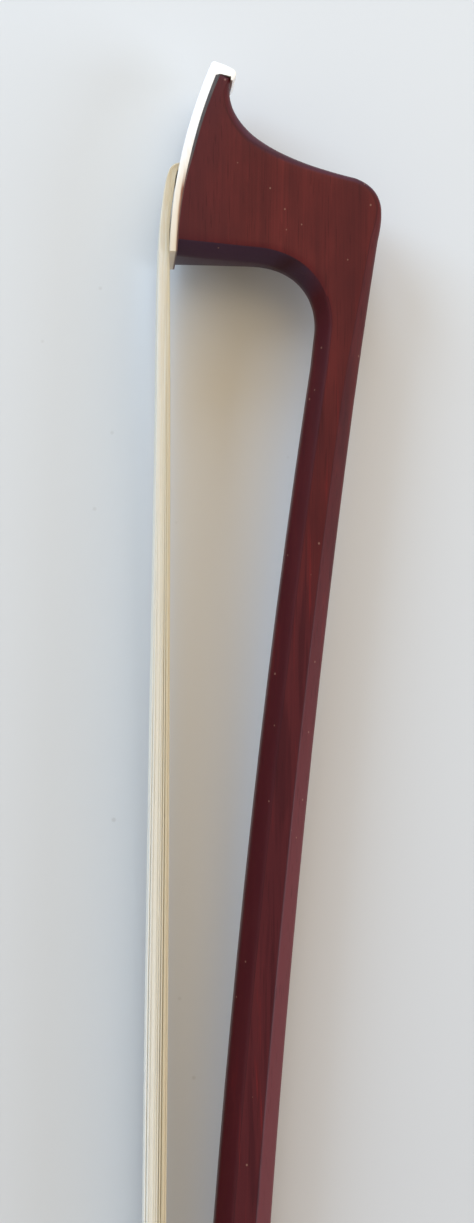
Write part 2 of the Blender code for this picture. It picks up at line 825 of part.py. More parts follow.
def make_frog_body(frog, ebony):
    body = add_object("frog_body", frog_blank(), ebony, frog, smooth=25.0)
    tongue = ferrule_outline(FERRULE_WALL + GAP, floor=-17.1)
    use_boolean(
        body, prism(tongue, FERRULE_FRONT + 0.6, FERRULE_BACK + 1.5, "u"), "UNION"
    )
    channel = octagon(2 * (HANDLE_THICKNESS / 2 + 2 * GAP + UNDERSLIDE_THICKNESS))
    use_boolean(body, prism(channel, 5.0, 60.0, "u"))
    groove = dovetail(*slide_ends(0.3), 0.75, FERRULE_FLAT - 0.5, -18.9, -GAP)
    use_boolean(body, groove)
    wide = SLIDE_HALF_BACK + GAP
    use_boolean(body, box((SLIDE_FRONT - 2.0, 32.0), (-19.2, -17.5), (-wide, wide)))
    half = FROG_MORTISE_HALF_WIDTH
    use_boolean(body, box(FROG_MORTISE, (-19.0, FROG_MORTISE_FLOOR), (-half, half)))
    use_boolean(body, prism(heel_plate_outline(GAP), -9.0, 9.0))
    stem = EYELET_FRONT + EYELET_LENGTH / 2
    use_boolean(body, upright(STEM_RADIUS + GAP, stem, STEM_BOTTOM - GAP, 3.0, 16))
    for side in (-1.0, 1.0):
        floor = side * (EYE_FACE - EYE_DEPTH - GAP)
        recess = circle(EYE_RING_OUTER + GAP, 24, EYE_PLACE)
        use_boolean(body, prism(recess, *sorted((floor, side * 9.0))))


def make_underslide(frog, metal):
    """A thin metal channel under the three lower facets of the handle."""
    inner = HANDLE_THICKNESS / 2 + GAP
    outer = inner + UNDERSLIDE_THICKNESS
    edge = -2.5
    outline = []
    for apothem in (inner, outer):
        corner = apothem * FACET
        rail = apothem * math.sqrt(2.0) + edge
        line = [(edge, rail), (-apothem, corner), (-apothem, -corner), (edge, -rail)]
        outline += line if apothem == inner else line[::-1]
    shape = prism(outline, FROG_FRONT + 0.3, HEEL - 1.0, "u")
    underslide = add_object("underslide", shape, metal, frog)
    stem = EYELET_FRONT + EYELET_LENGTH / 2
    use_boolean(underslide, upright(STEM_RADIUS + GAP, stem, -8.0, 0.0, 16))


def make_eyelet(frog, brass):
    """The nut that the screw pulls: an eye in the stick, a stem in the frog."""
    half = EYELET_LENGTH / 2
    middle = EYELET_FRONT + half
    width = EYELET_HALF_WIDTH
    outline = [(EYELET_FRONT, -4.0), (EYELET_FRONT + EYELET_LENGTH, -4.0)]
    outline += [(middle + half, 1.3), (middle + half - 0.8, 2.1)]
    outline += [(EYELET_FRONT + 0.8, 2.1), (EYELET_FRONT, 1.3)]
    eyelet = prism(outline, -width, width)
    eyelet = add_object("eyelet", eyelet, brass, frog, smooth=35.0)
    stem = upright(STEM_RADIUS, middle, STEM_BOTTOM, -3.5, 16)
    use_boolean(eyelet, stem, "UNION")
    use_boolean(eyelet, rod(SCREW_RADIUS + 0.3, 20.0, 40.0, 16))


def make_slide(frog, ebony, pearl):
    backing = dovetail(*slide_ends(), 0.75, -19.9, -19.2, 2 * GAP)
    add_object("slide_backing", backing, ebony, frog)
    shell = dovetail(*slide_ends(), 0.0, FERRULE_FLAT, -20.1, GAP)
    add_object("pearl_slide", shell, pearl, frog)


def make_heel_plate(frog, metal):
    shape = prism(heel_plate_outline(), -9.0, 9.0)
    plate = add_object("heel_plate", shape, metal, frog, smooth=25.0)
    use_boolean(plate, frog_blank(), "INTERSECT")


def make_frog_hair(frog, hair, maple):
    front, back = FROG_MORTISE
    half = FROG_MORTISE_HALF_WIDTH - GAP - 0.2
    floor = FROG_MORTISE_FLOOR - GAP
    low = HAIR_IN_FROG + HAIR_THICKNESS / 2 + 0.15
    riser = back - GAP
    outline = [
        (riser, low),
        (riser, floor),
        (riser - 5.4, floor),
        (riser - 6.2, floor - 1.3),
        (riser - 5.4, floor - 2.4),
        (riser - HAIR_THICKNESS - 0.2, floor - 2.8),
        (riser - HAIR_THICKNESS - 0.2, low),
    ]
    add_object("hair_knot_frog", prism(outline, -half, half), hair, frog)
    plug_back = riser - HAIR_THICKNESS - 0.2 - GAP
    outline = [
        (front + GAP, low + 0.2),
        (plug_back, low + 0.2),
        (plug_back - 0.3, floor - 3.2),
        (front + GAP + 0.3, floor - 3.2),
    ]
    add_object("frog_plug", prism(outline, -half, half), maple, frog)
    hair_top = FERRULE_FLAT + FERRULE_WALL + GAP + HAIR_THICKNESS
    outline = [
        (FERRULE_FRONT + 0.3, hair_top + GAP),
        (FERRULE_FRONT + 6.0, hair_top + GAP),
        (FERRULE_FRONT + 9.5, -18.0),
        (FERRULE_FRONT + 9.5, -17.45),
        (FERRULE_FRONT + 0.3, -17.45),
    ]
    add_object("spread_wedge", prism(outline, -4.7, 4.7), maple, frog)


def make_eyes(frog, pearl, metal):
    for name, side in (("right", 1.0), ("left", -1.0)):
        ends = sorted((side * (EYE_FACE - EYE_DEPTH), side * EYE_FACE))
        dot = prism(circle(EYE_RADIUS, 24, EYE_PLACE), *ends)
        add_object(f"pearl_eye_{name}", dot, pearl, frog, smooth=30.0)
        outer = circle(EYE_RING_OUTER, 24, EYE_PLACE)
        inner = circle(EYE_RING_INNER, 24, EYE_PLACE)
        rings = [[(a, b, h) for a, b in outer] for h in ends]
        rings += [[(a, b, h) for a, b in inner] for h in reversed(ends)]
        ring = loft(rings, closed=True)
        add_object(f"eye_ring_{name}", ring, metal, frog, smooth=30.0)


# The button


def bevelled_bar(thickness, start, end, cut):
    """An octagonal bar with its end edges taken off."""
    stations = (
        (start, thickness - 2 * cut),
        (start + cut, thickness),
        (end - cut, thickness),
        (end, thickness - 2 * cut),
    )
    return loft([[(u, a, b) for a, b in octagon(size)] for u, size in stations])


def make_button(button, ebony, metal, pearl, steel):
    front = handle_u(STICK_END) + GAP
    core_front = front + COLLAR_FRONT_LENGTH + GAP
    core_back = core_front + CORE_LENGTH
    cap_front = core_back + GAP
    cap_back = cap_front + COLLAR_BACK_LENGTH
    size = BUTTON_THICKNESS
    collar = bevelled_bar(size, front, front + COLLAR_FRONT_LENGTH, 0.25)
    collar = add_object("button_collar_front", collar, metal, button)
    use_boolean(collar, rod(NIPPLE_RADIUS + GAP, front - 2.0, core_front + 2.0))
    core = bevelled_bar(size - 0.2, core_front, core_back, 0.1)
    core = add_object("button_core", core, ebony, button)
    use_boolean(core, rod(SCREW_RADIUS + GAP, core_front - 2.0, core_back - 0.8))
    cap = bevelled_bar(size, cap_front, cap_back, 0.5)
    cap = add_object("button_collar_back", cap, metal, button)
    use_boolean(cap, rod(BUTTON_EYE_RADIUS + GAP, cap_front - 1.0, cap_back + 1.0))
    eye = rod(BUTTON_EYE_RADIUS, cap_front + 0.8, cap_back - 0.2)
    add_object("button_eye", eye, pearl, button, smooth=40.0)
    screw = rod(SCREW_RADIUS, SCREW_TIP, core_back - 1.2)
    add_object("screw", screw, steel, button, smooth=40.0)


def main():
    remove_all_objects()
    wood = finish("red_brown_wood", (0.105, 0.027, 0.024), 0.35)
    ebony = finish("ebony", (0.012, 0.010, 0.010), 0.35)
    bone = finish("bone", (0.83, 0.79, 0.73), 0.3)
    hair = finish("horse_hair", (0.72, 0.66, 0.50), 0.5)
    maple = finish("maple", (0.62, 0.45, 0.27), 0.6)
    pearl = finish("pearl_shell", (0.78, 0.80, 0.78), 0.2)
    nickel = finish("nickel_silver", (0.72, 0.69, 0.62), 0.25, 1.0)
    brass = finish("brass", (0.75, 0.56, 0.24), 0.3, 1.0)
    steel = finish("steel", (0.55, 0.55, 0.55), 0.35, 1.0)
    leather = finish("black_leather", (0.022, 0.018, 0.016), 0.6)
    dark = finish("dark_strip", (0.035, 0.026, 0.022), 0.4)
    light = finish("light_strip", (0.72, 0.63, 0.45), 0.4)

    bow = add_empty("bow", -CENTRE)
    lean = math.atan(HANDLE_SLOPE)
    frog = add_empty("frog_axis", (FERRULE_X, FERRULE_AXIS_Y, 0.0), lean, bow)
    button = add_empty("screw_axis", (FERRULE_X, FERRULE_AXIS_Y, 0.0), lean, bow)

    stick = make_stick(bow, wood)
    fit_handle(stick, frog)
    make_liner(bow, ebony)
    make_plate(bow, bone)
    make_tip_knot(bow, hair)
    make_tip_plug(bow, maple)
    make_ribbon(bow, hair)
    make_leather(bow, leather)
    make_windings(bow, dark, light)
    make_frog_body(frog, ebony)
    make_underslide(frog, nickel)
    make_eyelet(frog, brass)
    make_ferrule(frog, nickel)
    make_slide(frog, ebony, pearl)
    make_heel_plate(frog, nickel)
    make_frog_hair(frog, hair, maple)
    make_eyes(frog, pearl, nickel)
    make_button(button, ebony, nickel, pearl, steel)


main()
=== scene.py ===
import math
import random

import bmesh
import bpy
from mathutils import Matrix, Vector, noise


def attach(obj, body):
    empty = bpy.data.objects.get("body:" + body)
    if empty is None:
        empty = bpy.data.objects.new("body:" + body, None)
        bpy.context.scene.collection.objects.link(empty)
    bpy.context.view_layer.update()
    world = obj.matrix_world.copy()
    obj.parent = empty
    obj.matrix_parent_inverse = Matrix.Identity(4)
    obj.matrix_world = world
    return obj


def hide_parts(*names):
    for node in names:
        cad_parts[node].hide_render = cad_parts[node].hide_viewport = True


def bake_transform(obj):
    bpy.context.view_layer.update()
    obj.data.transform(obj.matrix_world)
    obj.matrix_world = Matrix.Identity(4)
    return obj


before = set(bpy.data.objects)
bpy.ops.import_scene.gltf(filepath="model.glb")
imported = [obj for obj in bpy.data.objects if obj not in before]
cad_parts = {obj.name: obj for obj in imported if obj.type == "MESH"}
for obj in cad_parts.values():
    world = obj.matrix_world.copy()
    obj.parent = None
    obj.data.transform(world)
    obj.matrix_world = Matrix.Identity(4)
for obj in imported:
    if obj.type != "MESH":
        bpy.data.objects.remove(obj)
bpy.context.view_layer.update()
print("frame loaded,", len(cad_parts), "nodes")

# Shapes are worked out in millimetres in the bow's own axes: x from the head plate's
# corner at the throat toward the button, y from the hair to the stick, z sideways.
bow = {
    "mm": 0.001,
    "centre": Vector((348.3, 13.1, -6.7)),  # of the whole bow, with z at the floor
    "seed": 11,
}
random.seed(bow["seed"])


def toWorld(point):
    return (Vector(point) - bow["centre"]) * bow["mm"]


def lerp(a, b, share):
    return a + (b - a) * share


def smoothStep(value):
    value = min(1.0, max(0.0, value))
    return value * value * (3.0 - 2.0 * value)


def throughStops(stops, at):
    for (x0, y0), (x1, y1) in zip(stops, stops[1:]):
        if at <= x1:
            return lerp(y0, y1, max(0.0, (at - x0) / (x1 - x0)))
    return stops[-1][1]


def bezier(points, t):
    a, b, c, d = points
    s = 1.0 - t
    return a * s**3 + b * 3 * s * s * t + c * 3 * s * t * t + d * t**3


def unitNormal(run):
    return Vector((-run.y, run.x)).normalized()


def roundTurns(count):
    return [i * math.tau / count for i in range(count)]


def addObject(name, data):
    made = bpy.data.objects.new(name, data)
    bpy.context.scene.collection.objects.link(made)
    return made


# Head, whose curve the finishes follow too

head = {
    "throatX": -0.9,
    "noseX": -22.8,
    "noseLean": Vector((0.25, 0.968)),
    "level": -0.47,
    "sweep": 0.0086,
    "plate": [(-12.5, 1.05), (-0.9, 0.76)],  # its thickness, thinner at the throat
    "liner": [(-12.5, 0.45), (-8.0, 0.24), (-0.9, 0.14)],
    "halfWidth": 5.3,
    "narrowing": 2.7,
    "ridgeHalfWidth": 2.75,
    "ridgeHeight": 22.0,
    "tipX": -23.9,
    # curves of the brow, of the front edge and of the throat's arch, after their first point
    "brow": (Vector((-6.6, 25.0)), Vector((-9.2, 24.8)), Vector((-10.4, 21.4))),
    "front": (Vector((-12.2, 13.4)), Vector((-15.6, 5.0)), Vector((-22.2, 6.75))),
    "arch": (Vector((8.2, 17.0)), Vector((3.9, 17.6)), Vector((0.0, 15.2))),
    "crookY": 9.8,
    "beak": [(-23.4, 6.05), (-22.98, 6.85), (-22.75, 7.15), (-22.45, 7.3)]
    + [(-22.1, 7.27), (-21.6, 7.05), (-21.4, 6.85)],
    "stretches": 16,
    "steps": 5,  # rings in each of the outline's stretches
    # chamfers: stretch, size
    "outerBevel": [(0, 1.5), (5, 0.5), (9, 0.6), (12, 1.1), (15, 0.5), (16, 0.15)],
    "innerBevel": [(0, 1.6), (7, 1.4), (16, 1.4)],
    "innerSide": [(0, 1.6), (7, 2.4), (16, 2.6)],
    "mortise": -8.3,
    "mortiseLength": 7.4,
    "mortiseHalfWidth": 3.3,
    "mortiseDepth": 7.6,
}

# Camera

view = {
    "over": (40.9, -6.3),  # the point of the bow straight below the lens
    "height": 200.0,  # above the bow's middle plane
    "pixelsPerMm": 8.4,  # of the photograph, on that plane
    "corner": (172.0, 268.0),  # pixel of the head plate's throat corner
    "picture": (474.0, 1223.0),
    "roll": math.radians(0.49),
    "sensor": 36.0,
}


def addCamera():
    width, height = view["picture"]
    scale = view["pixelsPerMm"]
    lensData = bpy.data.cameras.new("photoView")
    lensData.sensor_width = view["sensor"]
    lensData.lens = view["sensor"] * view["height"] * scale / height
    x, y = view["over"]
    across = view["corner"][0] + (y + math.tan(view["roll"]) * -x) * scale
    down = view["corner"][1] + (x + math.tan(view["roll"]) * y) * scale
    lensData.shift_x = (width / 2 - across) / height
    lensData.shift_y = (down - height / 2) / height
    lensData.clip_start = 0.01
    lensData.clip_end = 20.0
    camera = addObject("photoView", lensData)
    camera.location = toWorld((x, y, view["height"]))
    camera.rotation_euler = (0.0, 0.0, math.pi / 2 + view["roll"])
    bpy.context.scene.camera = camera


addCamera()
print("camera placed")


# Finishes


class Signal:  # a node's output, which can be used in sums
    def __init__(self, finish, socket):
        self.finish = finish
        self.socket = socket

    def work(self, operation, first, second):
        kinds = [v.socket.type for v in (first, second) if isinstance(v, Signal)]
        if "RGBA" in kinds:
            settings = {"data_type": "RGBA", "blend_type": operation}
            values = [v if isinstance(v, Signal) else self.asColour(v) for v in (first, second)]
            return self.finish.node("Mix", settings, {0: 1.0, 6: values[0], 7: values[1]}, 2)
        return self.finish.node("Math", {"operation": operation}, {0: first, 1: second})

    def asColour(self, value):
        if isinstance(value, (int, float)):
            return (value, value, value, 1.0)
        return (*value[:3], 1.0)

    def __add__(self, other):
        return self.work("ADD", self, other)

    def __radd__(self, other):
        return self.work("ADD", other, self)

    def __sub__(self, other):
        return self.work("SUBTRACT", self, other)

    def __rsub__(self, other):
        return self.work("SUBTRACT", other, self)

    def __mul__(self, other):
        return self.work("MULTIPLY", self, other)

    def __rmul__(self, other):
        return self.work("MULTIPLY", other, self)


class Finish:  # a Principled material, or a world, with short ways to its nodes
    def __init__(self, name, owner=None, **sockets):
        self.material = owner or bpy.data.materials.new(name)
        self.material.use_nodes = True
        self.tree = self.material.node_tree
        self.shader = self.tree.nodes.get("Principled BSDF")
        for key, value in sockets.items():
            self.plug(self.shader.inputs[key.replace("_", " ")], value)

    def plug(self, socket, value):
        if isinstance(value, Signal):
            self.tree.links.new(value.socket, socket)
        else:
            socket.default_value = value

    def put(self, name, value):
        self.plug(self.shader.inputs[name], value)

    def node(self, kind, settings=None, sockets=None, output=0):
        made = self.tree.nodes.new("ShaderNode" + kind)
        for key, value in (settings or {}).items():
            if key == "stops":
                self.setStops(made.color_ramp, value)
            else:
                setattr(made, key, value)
        for key, value in (sockets or {}).items():
            self.plug(made.inputs[key], value)
        return Signal(self, made.outputs[output])

    def setStops(self, ramp, stops):
        while len(ramp.elements) < len(stops):
            ramp.elements.new(1.0)
        for element, (place, colour) in zip(ramp.elements, stops):
            element.position = place
            element.color = (*colour, 1.0) if len(colour) == 3 else colour

    def place(self, scales=(1.0, 1.0, 1.0)):  # in millimetres
        inMm = [scale / bow["mm"] for scale in scales]
        there = self.node("TexCoord", output="Object")
        return self.node("Mapping", None, {"Vector": there, "Scale": inMm})

    def noise(self, scales, detail=3.0, rough=0.5, bend=0.0):  # scales: waves to the millimetre
        values = {"Vector": self.place(scales), "Scale": 1.0, "Detail": detail}
        values |= {"Roughness": rough, "Distortion": bend}
        return self.node("TexNoise", None, values)

    def cells(self, scales, feature="F1", jitter=1.0):
        values = {"Vector": self.place(scales), "Scale": 1.0, "Randomness": jitter}
        return self.node("TexVoronoi", {"feature": feature}, values)

    def ramp(self, value, stops, smooth=False):
        made = self.node("ValToRGB", {"stops": stops}, {"Fac": value})
        if smooth:
            made.socket.node.color_ramp.interpolation = "EASE"
        return made

    def between(self, value, low, high, outLow=0.0, outHigh=1.0):
        values = {"Value": value, "From Min": low, "From Max": high}
        values |= {"To Min": outLow, "To Max": outHigh}
        return self.node("MapRange", None, values)

    def mix(self, share, first, second):
        settings = {"data_type": "RGBA", "blend_type": "MIX"}
        values = {0: share}
        for index, value in ((6, first), (7, second)):
            values[index] = value if isinstance(value, Signal) else (*value[:3], 1.0)
        return self.node("Mix", settings, values, 2)

    def axis(self, where, name):
        return self.node("SeparateXYZ", None, {0: where}, name)

    def done(self, colour, rough, height, distance, strength):  # distance in millimetres
        self.put("Base Color", colour)
        if rough is not None:
            self.put("Roughness", rough)
        values = {"Height": height, "Distance": distance * bow["mm"], "Strength": strength}
        self.put("Normal", self.node("Bump", None, values))
        return self.material


def fromSrgb(red, green, blue):
    levels = [v / 255.0 for v in (red, green, blue)]
    return tuple(v / 12.92 if v <= 0.04045 else ((v + 0.055) / 1.055) ** 2.4 for v in levels)


def overPlate(finish):  # the bow's own x and the depth in from the head plate's curve
    spot = finish.place()
    x = finish.axis(spot, "X") + bow["centre"].x
    y = finish.axis(spot, "Y") + bow["centre"].y
    return x, y - (x * x * head["sweep"] + head["level"])


def makeRedWood():
    wood = {
        "deep": fromSrgb(68, 13, 17),
        "middle": fromSrgb(80, 21, 22),
        "light": fromSrgb(97, 30, 29),
        "wine": fromSrgb(58, 7, 15),
        "glint": fromSrgb(110, 26, 27),
        "pore": fromSrgb(46, 12, 14),
        "under": fromSrgb(63, 9, 18),  # painted shade on the facets toward the hair
        # painted reflection: a lighter pinkish sheen on the facets toward the stick's back
        "back": fromSrgb(104, 44, 48),
        # painted shade with a painted bluish reflection, on the faces in the throat
        "throat": fromSrgb(60, 36, 53),
        # painted reflection: a violet-grey sheen on the faces toward the head's front
        "front": fromSrgb(70, 31, 44),
        # painted shade on the wood close to the head plate
        "byPlate": fromSrgb(70, 20, 27),
        # painted shade: dark lines along the arrises between the facets
        "edge": fromSrgb(48, 8, 14),
        "dust": fromSrgb(170, 128, 110),
        "gloss": 0.36,
    }
    finish = Finish("red brown varnished wood", Coat_Roughness=0.16, Specular_IOR_Level=0.14)
    streaks = finish.noise((0.02, 0.45, 0.45), 5.0, 0.6, 0.6)
    fine = finish.noise((0.05, 4.5, 4.5), 3.0, 0.6)
    clouds = finish.noise((0.1, 0.16, 0.16), 3.0)
    tone = streaks * 0.42 + fine * 0.2 + clouds * 0.38
    stops = [(0.38, wood["deep"]), (0.5, wood["middle"]), (0.64, wood["light"])]
    x, depth = overPlate(finish)
    figure = finish.noise((0.035, 0.75, 0.75), 3.0, 0.55, 0.4)
    onStick = finish.between(x, 0.0, 30.0)  # its figure shows more on the stick's facets
    facing = finish.node("TexCoord", output="Normal")
    across, along = finish.axis(facing, "Y"), finish.axis(facing, "X")
    # painted shade along the arrises, where the normal turns between facets
    arrisShade = ((0.27, 0), (0.34, 1), (0.42, 0), (0.58, 0), (0.65, 0.8), (0.73, 0))
    line = finish.ramp(across * 0.5 + 0.5, [(at, (dark, dark, dark)) for at, dark in arrisShade])
    pores = finish.between(finish.noise((0.22, 5.5, 5.5), 1.0, 0.4), 0.64, 0.70)
    layers = {
        # painted shade: darker wood close to the head plate
        "byPlate": finish.between(depth, 9.0, 1.0) * 0.6,
        "wine": finish.between(figure, 0.53, 0.62) * onStick * 0.8,
        "glint": finish.between(figure, 0.42, 0.34) * onStick * 0.6,
        # painted shade: the facets toward the hair are darkened, mottled by the wood's figure
        "under": finish.between(across, -0.35, -0.62) * (figure + 0.35),
        # painted reflection on the back facets, growing along the shaft away from the head
        "back": finish.between(x, 15.0, 70.0) * finish.between(across, 0.4, 0.64),
        # painted shade and bluish reflection on the faces that look into the throat
        "throat": finish.between(along, 0.3, 0.6),
        # painted reflection on the faces toward the head's front
        "front": finish.between(along, -0.2, -0.45) * 0.8,
        # painted shade along the arrises, varied by the streaks
        "edge": line * (streaks + 0.25),
        "pore": pores * 0.35,
        "dust": finish.between(finish.cells((0.42, 0.5, 0.5)), 0.07, 0.04) * 0.45,
    }
    colour = finish.ramp(tone, stops)
    for name, mask in layers.items():
        colour = finish.mix(mask, colour, wood[name])
    finish.put("Coat Weight", 0.05 - pores * 0.04)
    return finish.done(colour, wood["gloss"] + fine * 0.12, fine * 0.5 - pores * 0.5, 0.02, 0.35)


def makeBone():
    bone = {
        "white": fromSrgb(252, 249, 244),
        "cream": fromSrgb(240, 226, 204),
        "straw": fromSrgb(220, 198, 164),
        "amber": fromSrgb(128, 72, 46),
    }
    finish = Finish("bone white plate", Coat_Weight=0.2, Coat_Roughness=0.12)
    clouds = finish.noise((0.2, 0.8, 0.3), 3.0)
    lines = finish.noise((0.15, 3.0, 3.0), 3.0, 0.6)
    x, depth = overPlate(finish)
    # the bone turns cream and straw toward the throat, and amber on its liner side by the mortise
    towardThroat = finish.between(x, -15.0, -5.0)
    share = finish.between(clouds * 0.7 + lines * 0.3 + towardThroat * 0.16, 0.42, 0.74)
    colour = finish.mix(share, bone["white"], bone["cream"])
    colour = finish.mix(finish.between(x, -9.0, -1.0) * 0.55, colour, bone["straw"])
    seam = finish.between(depth, 0.25, 0.85) * towardThroat
    colour = finish.mix(seam * 0.8, colour, bone["straw"])
    seam = finish.between(depth, 0.62, 0.8) * finish.between(x, -11.0, -8.0)
    colour = finish.mix(seam * (clouds + 0.3), colour, bone["amber"])
    return finish.done(colour, 0.34 + lines * 0.15, lines, 0.01, 0.4)


def makeLiner():
    finish = Finish("dark liner", Roughness=0.5)
    threads = finish.noise((0.3, 3.0, 3.0), 3.0)
    stops = [(0.35, fromSrgb(34, 26, 24)), (0.65, fromSrgb(62, 46, 38))]
    x, _ = overPlate(finish)
    throatSide = finish.between(x, -13.0, -9.0)  # it thins out toward the throat and turns amber there
    colour = finish.mix(throatSide, finish.ramp(threads, stops), fromSrgb(92, 54, 42))
    return finish.done(colour, None, threads, 0.02, 0.4)


hairColours = {
    "pale": fromSrgb(254, 253, 247),
    "cream": fromSrgb(249, 243, 228),
    "straw": fromSrgb(232, 216, 182),
    "shaded": fromSrgb(228, 208, 173),
    "glow": fromSrgb(255, 250, 238),
    "through": 0.34,  # share of the light that goes through a strand
}


def makeHair():
    finish = Finish("white horse hair", Roughness=0.42, Specular_IOR_Level=0.6)
    where = finish.node("TexCoord", output="Object")
    # painted shade: the hair darkens to straw and shaded tones on its side toward the stick;
    # strands and locks vary its tone at random
    shadeTowardStick = finish.between(finish.axis(where, "Y") * (1.0 / bow["mm"]), -15.4, -12.9)
    strands = finish.noise((0.004, 5.5, 5.5), 2.0, 0.6)
    locks = finish.noise((0.006, 1.4, 0.9), 2.0, 0.5)
    tone = strands * 0.3 + locks * 0.3 + shadeTowardStick * 0.36
    stops = [
        (0.28, hairColours["pale"]),
        (0.43, hairColours["cream"]),
        (0.58, hairColours["straw"]),
        (0.72, hairColours["shaded"]),
    ]
    finish.done(finish.ramp(tone, stops), None, finish.noise((1.5, 8.0, 8.0), 2.0), 0.01, 0.3)
    glow = finish.node("BsdfTranslucent", None, {"Color": (*hairColours["glow"], 1.0)}, 0)
    values = {0: hairColours["through"], 1: Signal(finish, finish.shader.outputs[0]), 2: glow}
    mixed = finish.node("MixShader", None, values)
    finish.tree.links.new(mixed.socket, finish.tree.nodes["Material Output"].inputs["Surface"])
    return finish.material


def makeEbony():
    coat = {"Coat_Weight": 0.08, "Coat_Roughness": 0.12}
    finish = Finish("polished ebony", Specular_IOR_Level=0.28, **coat)
    grain = finish.noise((0.07, 2.2, 2.2), 4.0, 0.6, 0.2)
    stops = [(0.4, (0.008, 0.007, 0.007)), (0.62, (0.017, 0.013, 0.011))]
    colour = finish.ramp(grain, stops + [(0.8, (0.035, 0.022, 0.015))])
    pores = finish.between(finish.noise((0.3, 8.0, 8.0), 1.0, 0.4), 0.62, 0.69)
    colour = finish.mix(pores * 0.6, colour, (0.003, 0.003, 0.003))
    rough = 0.27 + pores * 0.25 + grain * 0.08
    return finish.done(colour, rough, grain * 0.3 - pores, 0.02, 0.3)


def makeMetal(name):
    bright, dull, gloss, lines = metals[name]
    finish = Finish(name, Metallic=1.0)
    clouds = finish.noise((0.12, 0.12, 0.12), 2.0, 0.5)
    scratches = finish.noise(lines, 3.0, 0.7)
    share = finish.between(clouds * 0.7 + scratches * 0.3, 0.3, 0.7)
    rough = gloss + clouds * 0.06 + scratches * 0.1
    return finish.done(finish.mix(share, bright, dull), rough, scratches, 0.003, 0.2)


def makePearl():
    pearl = {
        "white": fromSrgb(222, 223, 220),
        "green": fromSrgb(202, 212, 208),
        "rose": fromSrgb(220, 212, 213),
        "blue": fromSrgb(196, 204, 212),
        "shade": fromSrgb(176, 183, 186),
    }
    finish = Finish("pearl shell", Coat_Weight=0.35, Coat_Roughness=0.1)
    folds = finish.noise((0.09, 0.2, 0.2), 2.0, 0.5, 0.8)
    fine = finish.noise((0.3, 2.2, 2.2), 4.0, 0.6, 0.6)
    bands = folds * 0.85 + fine * 0.15
    stops = [
        (0.3, pearl["shade"]),
        (0.4, pearl["green"]),
        (0.48, pearl["white"]),
        (0.56, pearl["rose"]),
        (0.64, pearl["white"]),
        (0.74, pearl["blue"]),
    ]
    finish.put("Metallic", finish.between(folds, 0.4, 0.7, 0.1, 0.45))
    return finish.done(finish.ramp(bands, stops, True), 0.16 + fine * 0.12, folds, 0.03, 0.25)


def makeBlackLeather():
    finish = Finish("black thumb leather", Specular_IOR_Level=0.22)
    grain = finish.cells((2.1, 2.1, 2.1), "SMOOTH_F1", 0.9)
    creases = finish.noise((1.3, 1.3, 1.3), 4.0, 0.65, 0.6)
    wear = finish.between(finish.noise((0.12, 0.3, 0.3), 3.0), 0.45, 0.75)
    stops = [(0.2, (0.008, 0.007, 0.007)), (0.6, (0.017, 0.015, 0.014))]
    colour = finish.ramp(creases, stops + [(0.85, (0.03, 0.026, 0.023))])
    colour = finish.mix(wear * 0.4, colour, (0.036, 0.030, 0.026))
    rough = 0.55 - wear * 0.18 + grain * 0.15
    return finish.done(colour, rough, (1.0 - grain) * 0.8 + creases * 0.4, 0.12, 0.9)


def makeStrip(name, places):  # its fibres run round the stick, across x
    colours, gloss = strips[name]
    title = name + " lapping strip"
    finish = Finish(title, Coat_Weight=0.08, Coat_Roughness=0.15, Specular_IOR_Level=0.35)
    fibres = finish.noise((5.5, 0.12, 0.12), 3.0, 0.6, 0.2)
    clouds = finish.noise((0.35, 0.3, 0.3), 2.0)
    tone = fibres * 0.65 + clouds * 0.35
    colour = finish.ramp(tone, list(zip(places, colours)))
    return finish.done(colour, gloss + fibres * 0.15, fibres, 0.02, 0.4)


def makeMaple():
    finish = Finish("maple", Specular_IOR_Level=0.3)
    grain = finish.noise((0.25, 2.4, 2.4), 4.0, 0.6, 0.3)
    stops = [(0.35, fromSrgb(188, 148, 104)), (0.55, fromSrgb(208, 172, 128))]
    colour = finish.ramp(grain, stops + [(0.75, fromSrgb(222, 192, 152))])
    return finish.done(colour, 0.55 + grain * 0.15, grain, 0.03, 0.4)


metals = {  # bright colour, dull colour, roughness, scales of its scratches
    "nickel silver": ((0.56, 0.54, 0.50), (0.48, 0.46, 0.42), 0.14, (0.15, 5.0, 5.0)),
    "brass": ((0.70, 0.52, 0.24), (0.56, 0.40, 0.18), 0.2, (2.0, 2.0, 2.0)),
    "turned steel": ((0.46, 0.46, 0.46), (0.36, 0.35, 0.34), 0.26, (4.0, 0.3, 0.3)),
}
strips = {  # colours and roughness of the two lapping strips
    "dark": (((0.012, 0.009, 0.008), (0.030, 0.021, 0.017), (0.060, 0.042, 0.032)), 0.28),
    "light": ((fromSrgb(196, 172, 132), fromSrgb(222, 204, 168), fromSrgb(236, 224, 196)), 0.34),
}
finishes = {
    "red_brown_wood": makeRedWood(),
    "bone": makeBone(),
    "liner": makeLiner(),
    "horse_hair": makeHair(),
    "ebony": makeEbony(),
    "maple": makeMaple(),
    "pearl_shell": makePearl(),
    "nickel_silver": makeMetal("nickel silver"),
    "brass": makeMetal("brass"),
    "steel": makeMetal("turned steel"),
    "black_leather": makeBlackLeather(),
    "dark_strip": makeStrip("dark", (0.35, 0.55, 0.75)),
    "light_strip": makeStrip("light", (0.3, 0.5, 0.7)),
}
print("finishes made:", len(finishes))


# Building pieces


def addPiece(name, shape, finish, body, replaces=(), sharp=30.0):
    bmesh.ops.recalc_face_normals(shape, faces=shape.faces)
    if shape.calc_volume(signed=True) < 0.0:
        bmesh.ops.reverse_faces(shape, faces=shape.faces)
    for vert in shape.verts:
        vert.co = toWorld(vert.co)
    mesh = bpy.data.meshes.new(name)
    shape.to_mesh(mesh)
    shape.free()
    mesh.shade_smooth()
    mesh.set_sharp_from_angle(angle=math.radians(sharp))
    mesh.materials.append(finishes[finish])
    piece = addObject(name, mesh)
    if body:
        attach(piece, body)
    if replaces:
        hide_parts(*replaces)
    return piece


